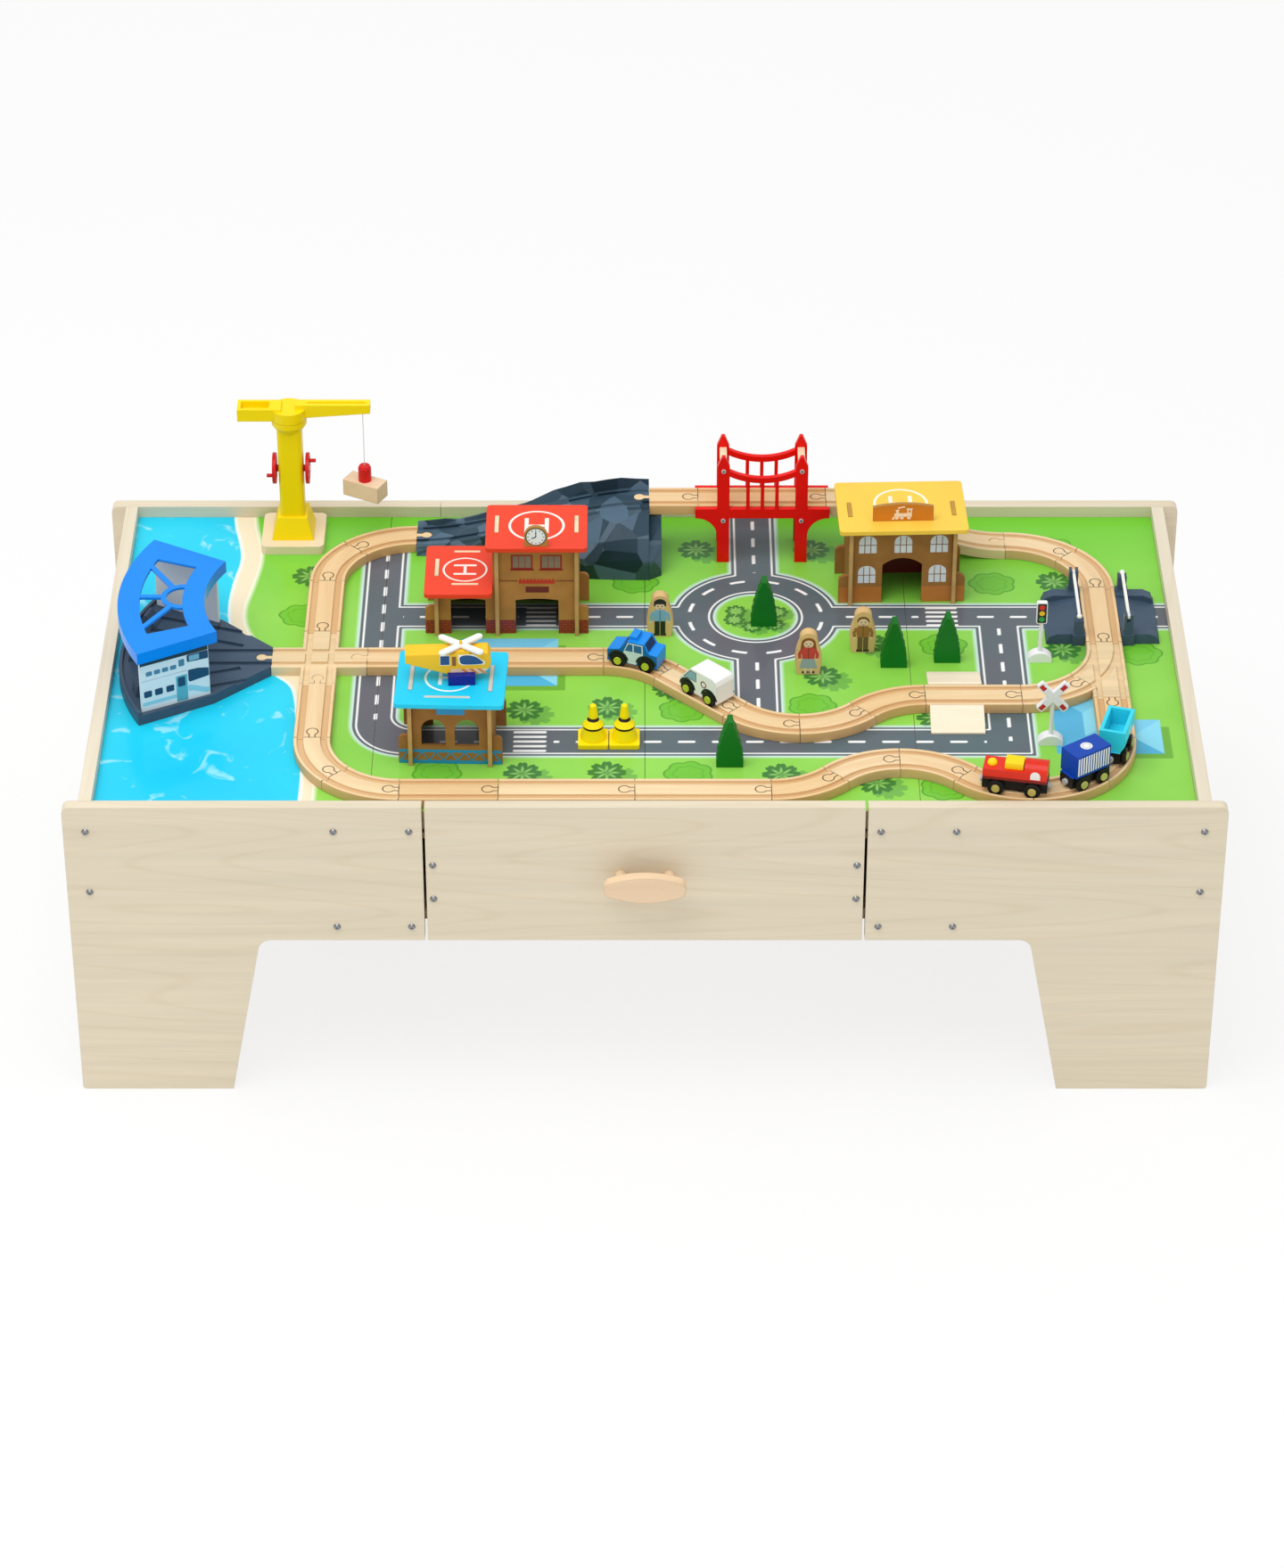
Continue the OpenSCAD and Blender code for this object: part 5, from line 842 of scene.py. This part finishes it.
def castle_prints():
    """The castle's ink: framed windows, a toothed band, a bare plate, brick courses, the helipads and the
    clock's face; and a near-black sheet of painted shade on the inner face of the back wall."""
    sides = (16.0, 48.5)
    frames = [rect(x, x + 24.5, 84.5, 104) for x in sides]
    frames += [rect(x - 1.2, x + 25.7, 83, 85.2) for x in sides]
    panes = [rect(x + a, x + a + 6.2, 87, 102) for x in sides for a in (2.2, 9.15, 16.1)]
    teeth = np.concatenate([[(24.5, 66.0), (64.7, 66.0)], zigzag(64.7, 24.5, 21, 69.8, 73.2)])
    lines = [ribbon(zigzag(a, a + 20, 11, 68.8, 70.6), 1.3) for a in (3.2, 65.8)]
    courses = ((-80.5, -70.5), (-65.5, -52.3), (-12.9, -2.6), (2.6, 20.3), (68.7, 86.5), (91.5, 101.5))
    course_h, white = 17.6, "#FBF5EC"
    prints(
        "castle_front_print", CASTLE, 0.0, "building_board",
        ("#A3271D", frames), ("#8D7B6B", panes), ("#7F3520", lines), ("#C4321F", [teeth]),
        ("#6A1D1A", [rect(32, 58, 54.5, 62)]), ("#5A1B15", [rect(a, b, 0.1, course_h) for a, b in courses]),
        ("#A93629", [brick for a, b in courses for brick in bricks(a, b, course_h)]),
    )
    # A near-black sheet on the inner face of the back wall: painted shade inside the castle, seen through its
    # doors.
    prints(
        "castle_inside_shade", CASTLE, 68.5, "building_board",
        ("#1B1511", [rect(-65.5, -2.6, 0.3, 58), rect(2.6, 86.5, 0.3, 110)]),
    )
    prints("castle_high_pad", CASTLE, 121.0, "red_roof", (white, helipad(44.5, 33.8, 30)), flat=True)
    prints(
        "castle_low_pad", CASTLE, 64.0, "red_roof", (white, helipad(-36.4, 32.4, 24.0, True)),
        (tab_tone, [rect(-50.5, -21, 0.4, 4.1), rect(-49.5, -20.5, 68.9, 72.6)]), flat=True,
    )
    face = (44.5, 134.0)
    ticks = [ribbon([p * 0.8 + np.multiply(face, 0.2), p], 0.8) for p in bow(*face, 9.6, 0, 330, 12)]
    hands = [ribbon([face, (44.5, 141.0)], 1.1), ribbon([face, (39.6, 131.6)], 1.3)]
    prints(
        "clock_face", CASTLE, -11.0, "building_board", ("#4E331C", [disc(*face, 11.5)]),
        ("#F4F5F7", [disc(*face, 10.4)]), ("#26262A", ticks), ("#141416", hands),
    )


castle_prints()

# Station: the same board with a yellow roof and a low sign on its front edge.
# It stands loose between the deck track and the middle road.
surface("yellow_roof", "#FBD04E", 0.4, "station_roof", scale=14.0, coat=0.06, edge=0.7)


def arched(x, y, w, h, rise):
    """An upright rectangle whose top is half an ellipse."""
    u = np.linspace(1, -1, 25)
    top = np.stack([x + u * w / 2, y + h - rise + rise * np.sqrt(1 - u * u)], 1)
    return np.concatenate([[(x - w / 2, y), (x + w / 2, y)], top])


def station_prints():
    """The station's ink: arched windows of six panes, a brown band at the foot, a red back wall made dark as
    painted shade, the helipad, and an engine on the sign."""
    windows = [(x, 66.0) for x in (-39.5, 0.5, 41.0)] + [(x, 26.5) for x in (-40.0, 40.0)]
    bars = [
        rect(x + x0, x + x1, z + z0, z + z1) for x, z in windows
        for x0, x1, z0, z1 in ((-3.9, -2.9, 0, 21.2), (2.9, 3.9, 0, 21.2), (-9.8, 9.8, 10, 11))
    ]
    prints(
        "station_front_print", STATION, 0.0, "building_board",
        ("#C0762A", [rect(-71, -22.7, 0.2, 21), rect(22.7, 71, 0.2, 21)]),
        ("#E2E6EF", [arched(x, z, 19.8, 22.5, 8) for x, z in windows]), ("#8A5B3E", bars),
    )
    # Red print on the inner face of the back wall, made dark as painted shade inside the station.
    prints("station_inside_red_shade", STATION, 62.5, "building_board", ("#7C161B", [rect(-56, 56, 0.3, 96)]))
    prints("station_pad", STATION, 103.0, "yellow_roof", ("#FFFAEA", helipad(0, 46, 29.5)), flat=True)
    r, half, orange = (34 ** 2 + 4 ** 2) / 8.0, 33.4, "#D07C18"
    turn = math.degrees(math.asin(half / r))
    board = np.concatenate([[(-half, 103.5), (half, 103.5)], bow(0, 124.6 - r, r, 90 - turn, 90 + turn)])
    smoke = np.stack([np.linspace(-6.4, 1.4, 9), 119.8 + 1.6 * np.sin(np.linspace(0, 1.5, 9))], 1)
    engine = [
        rect(-10, 9.5, 108.6, 113.2), rect(4.2, 9.5, 113, 118.2), rect(3.4, 10.3, 118, 119.4),
        rect(-8.2, -5.4, 113, 116.6), rect(-9, -4.6, 116.4, 117.8),
        [(-13.4, 105.2), (-10, 105.2), (-10, 110)], ribbon(smoke, 1.7),
        *(disc(x, 107.2, 2.1) for x in (-7.2, -1.6, 6.4)),
    ]
    prints(
        "station_sign", STATION, 8.0, "building_board",
        (orange, [board]), ("#F7E2CC", engine), (orange, [rect(5.5, 8.2, 114.4, 116.9)]),
    )


station_prints()

# Kiosk: the same board with a light blue roof, and a wooden helicopter parked on it.
# The helicopter stands on a navy block; its rotor turns on a pin.
HELICOPTER = (-211.55, -166.5, 3.0)
surface("blue_roof", "#1BCDF4", 0.4, "kiosk_roof", scale=14.0, coat=0.06, edge=0.7)
heli_yellow = surface("heli_yellow", "#FBC526", 0.4, "helicopter_body", coat=0.05, edge=1.4)
paint(heli_yellow, HELICOPTER, ((-1, -20, 84), (29, 20, 97.05), "#16208C"))
white_paint = surface("white_paint", "#F2F2EE", 0.4, "helicopter_rotor", depth=0.05)


def both_sides(name, poses, half, slot, *layers):
    """The same ink on two faces, half a width before each pose, and turned over on the second."""
    for k, (pose, mirror) in enumerate(zip(poses, (1, -1))):
        drawn = [(colour, [np.asarray(o) * (mirror, 1) for o in outlines]) for colour, outlines in layers]
        prints(f"{name}_{k}", pose, -half, slot, *drawn)


def about(pose):
    """A pose, and the same one turned half round."""
    return pose, (*pose[:2], pose[2] + 180)


def kiosk_prints():
    """The kiosk's ink: a girder band at the foot, a bare blue plate and the helipad; and the helicopter's
    windows and belly stripes."""
    prints(
        "kiosk_front_print", KIOSK, 0.0, "building_board",
        ("#1F8FC6", [ribbon(zigzag(-54, 54, 15, 4.4, 14.6), 2.2)]),
        ("#1F93CC", [rect(-55.5, 55.5, 0.2, 4.4), rect(-55.5, 55.5, 14.6, 18)]),
        ("#1C9BDD", [rect(-14, 16, 63.5, 71)]),
    )
    prints(
        "kiosk_pad", KIOSK, 85.0, "blue_roof", ("#F2FBFF", helipad(-2, 39.6, 26)),
        (kiosk_tab, [rect(-27, 22, 0.4, 4.1)]), flat=True,
    )
    small = rect(-8.4, 1.4, 107, 118.2)
    big = np.array([(12, 118.4), (12.5, 109), (16, 106.4), (37, 106.8), (38, 109.6), (27, 118.6)])
    frames = [(o - o.mean(axis=0)) * 1.12 + o.mean(axis=0) for o in (small, big)]
    belly = np.concatenate([[(2.4, 94.4)], bow(29.88, 110.1, 15.7, -88, -36), [(2.4, 101.4)]])
    stripes = [[(x, 94.7), (x + 4, 94.7), (x - 3, 101.2), (x - 7, 101.2)] for x in (20.0, 29.0, 37.5)]
    both_sides(
        "helicopter_side", about(HELICOPTER), 11.0, "crane_yellow",
        ("#F3D2B8", [belly]), ("#E08A3C", stripes), ("#FBF3E2", frames),
        ("#1D4F86", [small, chaikin(big, 2)]), ("#8E5A1C", [rect(4.2, 8.4, 105.5, 117)]),
    )


kiosk_prints()

# Engine shed: a slate plastic deck that fans out from the crossing, two printed walls and a blue roof shell.
# The walls stand in slots of the deck and the roof rests on them.
slate_plastic = surface("slate_plastic", "#44586C", 0.38, "shed_base", scale=40.0, depth=0.12, edge=0.8)
surface("shed_wall", "#E3EDF2", 0.4, "shed_walls", scale=25.0, depth=0.05, edge=0.4)
surface("shed_blue", "#0089F2", 0.3, "shed_roof", scale=16.0, depth=0.06, coat=0.08, edge=1.2)


def shed_prints():
    """The shed walls' ink on their outer faces: the side of a plain railcar, two rows of windows, a door, a
    windscreen, a wave, and a dark band of painted shade along the top, under the roof."""
    fan_x, fan_y, turn, reach = -337.05, -17, 27.18, 239
    x = fan_x - reach * math.cos(math.radians(turn))
    rise = reach * math.sin(math.radians(turn))
    high = [rect(m - 3.6, m + 3.6, 56.4, 61.8) for m in (10.7, 20.2, 29.7, 39.2)]
    high += [rect(45.7, 52.4, 58, 66.5)]
    low = [rect(m - 4.6, m + 4.6, 29.2, 37.2) for m in (8.2, 21.0, 34.4)] + [
        np.array([(55.6, 61), (80.4, 59.5), (80.4, 70), (55.6, 70)]),
        np.array([(57.5, 35), (80.4, 37), (80.4, 47), (68, 50), (56.2, 50.5), (56.2, 37)]),
        rect(43.7, 52.3, 32, 44),
    ]
    u = np.linspace(0, 1, 13)
    ease = u * u * (3 - 2 * u)
    crest, foot = np.stack([55.4 + 25 * u, 31 - 9 * ease], 1), np.stack([80.4 - 25 * u, 15.5 + 8 * ease], 1)
    wave = np.concatenate([crest, foot])
    both_sides(
        "shed_wall_print", ((x, fan_y - rise, turn), (x, fan_y + rise, 180 - turn)), 1.5, "white_plastic",
        # The dark band along the top of each wall is painted shade under the roof's edge.
        ("#1F2E3C", [rect(0.6, 80.4, 70.4, 77)]), ("#97D6E6", [rect(1.5, 41.5, 19, 23.4), wave]),
        ("#AEBBC6", [rect(1.5, 54.6, 50.4, 51.0)]), ("#5FB0C2", [rect(41.7, 54.7, 13, 46)]),
        ("#1B4166", [rounded(o, 1.6) for o in low]), ("#4F86A4", [rounded(o, 1.4) for o in high]),
        ("#7FB6CE", [rect(58, 70, 61.8, 68.6)]),
    )


shed_prints()

# Crane: a yellow tower on a wooden foot, a jib that swings and a red winch that lifts a wooden block.
# The cord runs from the jib's tip to a magnet in a red cap.
CRANE = (-405.05, 253.5, 0.0)
crane_yellow = surface(
    "crane_yellow", "#FFDF00", 0.35, "crane_tower", "crane_jib", scale=16.0, depth=0.05, coat=0.05, edge=1.0
)
paint(crane_yellow, CRANE, ((-40, -42, -1), (40, 42, 11.02), "#F0DCB8"))
surface("red_plastic", "#D91A1C", 0.35, "crane_winch", "crane_hook", scale=16.0)
dress(handle_wood, "cargo_block")


def hoist_cord():
    """The crane's cord: a tube of three strands, whose radius swells three times round and turns on the way
    down."""
    x, y, top, low, rows, cols = -321.05, CRANE[1] + SHIFT_Y, 538.3, 461.5, 97, 12
    z = np.linspace(top, low, rows)[:, None]
    a = np.linspace(0, 2 * math.pi, cols + 1)[None, :-1]
    r = 0.44 + 0.06 * np.cos(3 * a + 1.4 * z)
    points = np.stack(np.broadcast_arrays(x + r * np.cos(a), y + r * np.sin(a), z), -1).reshape(-1, 3)
    thread = surface("cord_thread", "#EDEDE8", 0.8, scale=300.0, depth=0.25, edge=0.1)
    cord = piece("hoist_thread", points, tube(rows, cols), thread, body=None, sharp=80.0)
    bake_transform(cord)
    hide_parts("hoist_cord")


hoist_cord()

# Level crossing: two slate ramps with posts, and a white gate arm on each.
# Each arm swings up on a pin through its post.
dress(slate_plastic, "gate_ramps")
dress(white_paint, "gate_arm_left", "gate_arm_right")

# Signs, trees and figures: small painted wooden pieces that stand loose on the boards.
# The cones and signs are turned or sawn and dipped in paint; the figures are printed on one face.
surface("tree_green", "#07741F", 0.5, "trees", scale=30.0, depth=0.15, bump=0.1, edge=1.0)
surface("figure_wood", "#E3BE82", 0.5, "figures", stretch=(30.0, 30.0, 4.0), depth=0.15, edge=1.2)
sign_white = surface("sign_white", "#F2F3F4", 0.4, "road_signs", depth=0.05)
for cone_x in (-56.0, -22.0):
    bands = [((-16, -16, z), (16, 16, z + 3.0), "#1E1712") for z in (19.4, 28.6)]
    paint(sign_white, (cone_x, -165.5, 0), ((-17.4, -17.4, -1), (17.4, 17.4, 50), "#FFE600"), *bands)


def sign_prints():
    """The traffic light's lamps on their dark panel, and the red ends of the crossing sign's arms."""
    lamps = (("#E02A20", 71.2), ("#F4C61E", 63.5), ("#22A84E", 55.8))
    prints(
        "traffic_lamps", (439.5, -4.0, 0), -4.0, "white_plastic",
        ("#24272B", [rounded(rect(-5, 5, 51, 76), 1.5)]),
        *((colour, [disc(0, z, 3.1)]) for colour, z in lamps),
    )
    arms = [np.array([math.cos(math.radians(a)), math.sin(math.radians(a))]) for a in (48, 132, 228, 312)]
    prints(
        "crossing_arm_ends", (440.5, -168.5, 0), -4.0, "white_plastic",
        ("#C9202B", [ribbon([(0, 61.16) + d * 13, (0, 61.16) + d * 20.4], 5) for d in arms]),
    )


def figure_prints():
    """Plain figures: hair or a cap, a face of two dots and a line, a top with sleeves, trousers or a skirt.
    They were drawn 61 mm high, and are lowered to the wood's height."""
    low = np.array([1.0, 54.0 / 61.0])
    skin, dark, sides = "#F0CDB0", "#1F1B1A", (-1, 1)
    hair = bow(0, 47.0, 6.9, -12, 192)
    cap = np.concatenate([bow(0, 49.2, 7.2, 15, 165), [(-6.4, 49.0), (6.4, 49.0)]])
    long_hair = np.concatenate([bow(0, 46.4, 8.0, 0, 180), [(-9.6, 33), (-5, 31), (5, 31), (9.6, 33)]])
    top = np.array([(-6.4, 23.5), (6.4, 23.5), (8.2, 36), (4.8, 40.4), (-4.8, 40.4), (-8.2, 36)])
    sleeves = [ribbon([(s * 7.4, 37), (s * 10.0, 30.5), (s * 9.4, 24)], 3.4) for s in sides]
    face = [disc(0, 45.2, 5.4)] + [disc(s * 9.4, 22.6, 1.8) for s in sides]
    legs = [rect(-6, -0.4, 4.5, 24), rect(0.4, 6, 4.5, 24)]
    shoes = [rect(-7, -0.4, 1.8, 5), rect(0.4, 7, 1.8, 5)]
    calves = [rect(-4.6, -1.8, 2, 11), rect(1.8, 4.6, 2, 11)]
    skirt = np.array([(-6.2, 24.5), (6.2, 24.5), (10.2, 9.5), (-10.2, 9.5)])
    lines = [disc(s * 2.3, 45.6, 0.7) for s in sides]
    lines += [ribbon(bow(0, 44.6, 2.6, 232, 308, 9), 0.5), ribbon([(0, 40.2), (0, 24)], 0.6)]
    for k, (x, y, crown, shirt, below, under, over, lower) in enumerate((
        (17, 49, "#1C2028", "#7FB2D6", "#17181C", hair, [cap], []),
        (181, -28, "#8E4F22", "#CC3A3F", "#9AA7B0", long_hair, [], [skirt]),
        (243, 16, "#7A4A22", "#A26A38", "#6E5134", hair, [], []),
    )):
        layers = (
            (crown, [under]), (skin, face), (dark, shoes), (skin, calves) if lower else (below, legs),
            (below, lower), (shirt, sleeves), (shirt, [top]), (dark, lines), (crown, over),
        )
        drawn = [(colour, [o * low for o in outlines]) for colour, outlines in layers]
        prints(f"figure_print_{k}", (x, y, 0), -6.0, "bare_wood", *drawn)


sign_prints()
figure_prints()

# Vehicles: a train of three and two cars, painted wooden bodies on black wheels that turn on their axles.
# The train's wagons are held together by magnets at the ends of their frames.
LOCO, BOX, TIPPER = (395.6, -270.8, 169.0), (470.7, -255.4, 215.5), (507.6, -203.7, 253.5)
PATROL, VAN = (-9.1, -25.5, 158.0), (68.0, -89.7, 135.0)
black, magnet, skin_blue, glass_blue, lamp_white = "#1A1A1C", "#C9CBCE", "#0868B4", "#1C3A66", "#F4F1DC"
loco_red = surface("loco_red", "#E22C14", 0.32, "locomotive", coat=0.12, edge=0.9)
navy_paint = surface("navy_paint", "#0C46B2", 0.36, "box_wagon", depth=0.1, coat=0.03, edge=0.8)
cyan_paint = surface("cyan_paint", "#34DAF0", 0.35, "tipper_wagon", depth=0.06, coat=0.08, edge=0.8)
patrol_blue = surface("patrol_blue", "#0890F0", 0.32, "patrol_car", coat=0.12, edge=1.4)
van_white = surface("van_white", "#F4F4F2", 0.35, "van", depth=0.05, coat=0.08, edge=1.4)
for finish, pose, half in ((loco_red, LOCO, 35.05), (navy_paint, BOX, 26.05), (cyan_paint, TIPPER, 26.05)):
    paint(
        finish, pose, ((-60, -20, 0), (60, 20, 27.75), black), ((half, -20, 0), (60, 20, 27.7), magnet),
        ((-60, -20, 0), (-half, 20, 27.7), magnet),
    )
paint(
    loco_red, LOCO,
    ((-60, -20, 27.75), (60, 20, 31.4), "#861A13"), ((-9.6, -20, 40.35), (40, 20, 60), "#FFDA00"),
)
paint(
    patrol_blue, PATROL,
    ((-60, -20, 0), (60, -13.2, 60), skin_blue), ((-60, 13.2, 0), (60, 20, 60), skin_blue),
    ((6.2, -10.5, 33.6), (15.2, 10.5, 43.4), glass_blue),
    ((-19.6, -10.5, 34.8), (-13.8, 10.5, 43.4), glass_blue),
    ((29.3, -11.5, 22), (30, -6.5, 26), lamp_white), ((29.3, 6.5, 22), (30, 11.5, 26), lamp_white),
)
paint(van_white, VAN, ((13, -10.5, 32), (24.6, 10.5, 44), "#7C9DB2"))

arches = ("#14171B", [ribbon(bow(x, 18.2, 11.2, 8, 172), 2.4) for x in (-16.5, 16.5)])
stripes = [rect(x - 0.95, x + 0.95, 30.6, 52.4) for x in np.linspace(-20.4, 20.4, 13)]
both_sides("loco_window", about(LOCO), 13.0, "loco_red", ("#F3EFEA", [arched(-22, 32.6, 10.6, 9.6, 5)]))
both_sides("box_stripes", about(BOX), 13.5, "navy_paint", ("#F4F4F0", stripes))
prints(
    "box_roof_mark", BOX, 54.8, "navy_paint",
    ("#F2F2F0", [disc(0, 0, 6.5)]), ("#B9C2CC", ring(0, 0, 4.2, 1.1)), flat=True,
)
both_sides("tipper_mark", about(TIPPER), 14.5, "cyan_paint", ("#F2FAFB", ring(0, 44.5, 4.2, 1.3)))
both_sides(
    "patrol_side", about(PATROL), 13.5, "patrol_blue",
    ("#D3E4EC", [[
        (-5, 16.5), (5, 16.5), (7.5, 26), (10.5, 29.6), (5.2, 43.2), (-12.6, 43.2), (-13, 29.6), (-7.5, 26),
    ]]),
    ("#2A64A6", [
        [(8.6, 32.4), (4.4, 41.8), (-0.6, 41.8), (-0.6, 32.4)],
        [(-2.2, 32.4), (-2.2, 41.8), (-11.2, 41.8), (-11.6, 32.4)],
    ]),
    arches,
)
both_sides(
    "van_side", about(VAN), 13.5, "white_paint",
    ("#2A2E34", [[(22.6, 30.9), (12.6, 43), (3.2, 43), (3.2, 30.9)]]),
    ("#8FB6CA", [[(21, 31.6), (12.2, 42.2), (4, 42.2), (4, 31.6)]]),
    ("#8A2430", ring(-8, 33, 3.6, 1.3)), arches,
)
for vehicle, pose, hub in (
    ("loco", LOCO, "#CDBB66"), ("box", BOX, "#C6C870"), ("tipper", TIPPER, "#C6C870"),
    ("patrol", PATROL, "#C3D43A"), ("van", VAN, "#C3D43A"),
):
    wheel_black = surface(
        f"{vehicle}_wheels", "#1C1C1C", 0.4, f"{vehicle}_front_wheels", f"{vehicle}_rear_wheels",
        scale=40.0, depth=0.2, edge=0.5,
    )
    paint(wheel_black, pose, ((-60, 15.3, 0), (60, 30, 60), hub), ((-60, -30, 0), (60, -15.3, 60), hub))

# Studio: a white floor, a wide soft light from above and in front, and the camera of the photograph.
# The floor is plain, and shows only a faint shadow under the table.


def studio():
    """A bright even room: the floor shows almost white to the camera and in reflections."""
    scene = bpy.context.scene
    material, tree, shader = blank("studio_floor")
    feed(tree, shader, {"Base Color": (0.92, 0.92, 0.92, 1), "Roughness": 0.9})
    rays = node(tree, "LightPath").outputs
    seen = math_node(tree, "ADD", rays["Is Camera Ray"], rays["Is Glossy Ray"])
    seen = math_node(tree, "ADD", seen, rays["Is Transmission Ray"], clamp=True)
    share = math_node(tree, "MULTIPLY", seen, 0.8)
    white = node(tree, "Emission", {"Color": (1, 1, 1, 1), "Strength": 1.0}).outputs[0]
    plain = tree.nodes["Principled BSDF"].outputs[0]
    mix = node(tree, "MixShader", {0: share, 1: plain, 2: white}).outputs[0]
    feed(tree, tree.nodes["Material Output"].inputs, {"Surface": mix})
    mesh = bpy.data.meshes.new("floor")
    half = 30.0
    corners = np.c_[rect(-half, half, -half, half), np.zeros(4)]
    mesh.from_pydata(corners.tolist(), [], [(0, 1, 2, 3)])
    mesh.materials.append(material)
    floor = bpy.data.objects.new("floor", mesh)
    scene.collection.objects.link(floor)
    scene.world = bpy.data.worlds.new("studio")
    scene.world.use_nodes = True
    sky = scene.world.node_tree
    feed(sky, sky.nodes["Background"].inputs, {"Color": (1.0, 1.0, 1.0, 1), "Strength": 0.72})
    for name, spot, turn, size, power in (
        ("key", (-0.9, -0.9, 3.6), (15, 0, -20), 2.6, 70.0),
        ("fill", (2.4, -2.8, 1.6), (68, 0, 40), 2.2, 5.0),
    ):
        lamp = bpy.data.lights.new(name, "AREA")
        lamp.size = size
        lamp.energy = power
        lit = bpy.data.objects.new(name, lamp)
        lit.location = spot
        lit.rotation_euler = tuple(math.radians(t) for t in turn)
        scene.collection.objects.link(lit)
    lens = bpy.data.cameras.new("camera")
    lens.lens = 113.44
    lens.sensor_width = 36.0
    lens.clip_end = 100.0
    eye = bpy.data.objects.new("camera", lens)
    eye.location = (-0.0031, -4.6118 + SHIFT_Y / 1000.0, 3.3818)
    eye.rotation_euler = (math.radians(55.336), 0, 0)
    scene.collection.objects.link(eye)
    scene.camera = eye
    scene.view_settings.view_transform = "Standard"


studio()
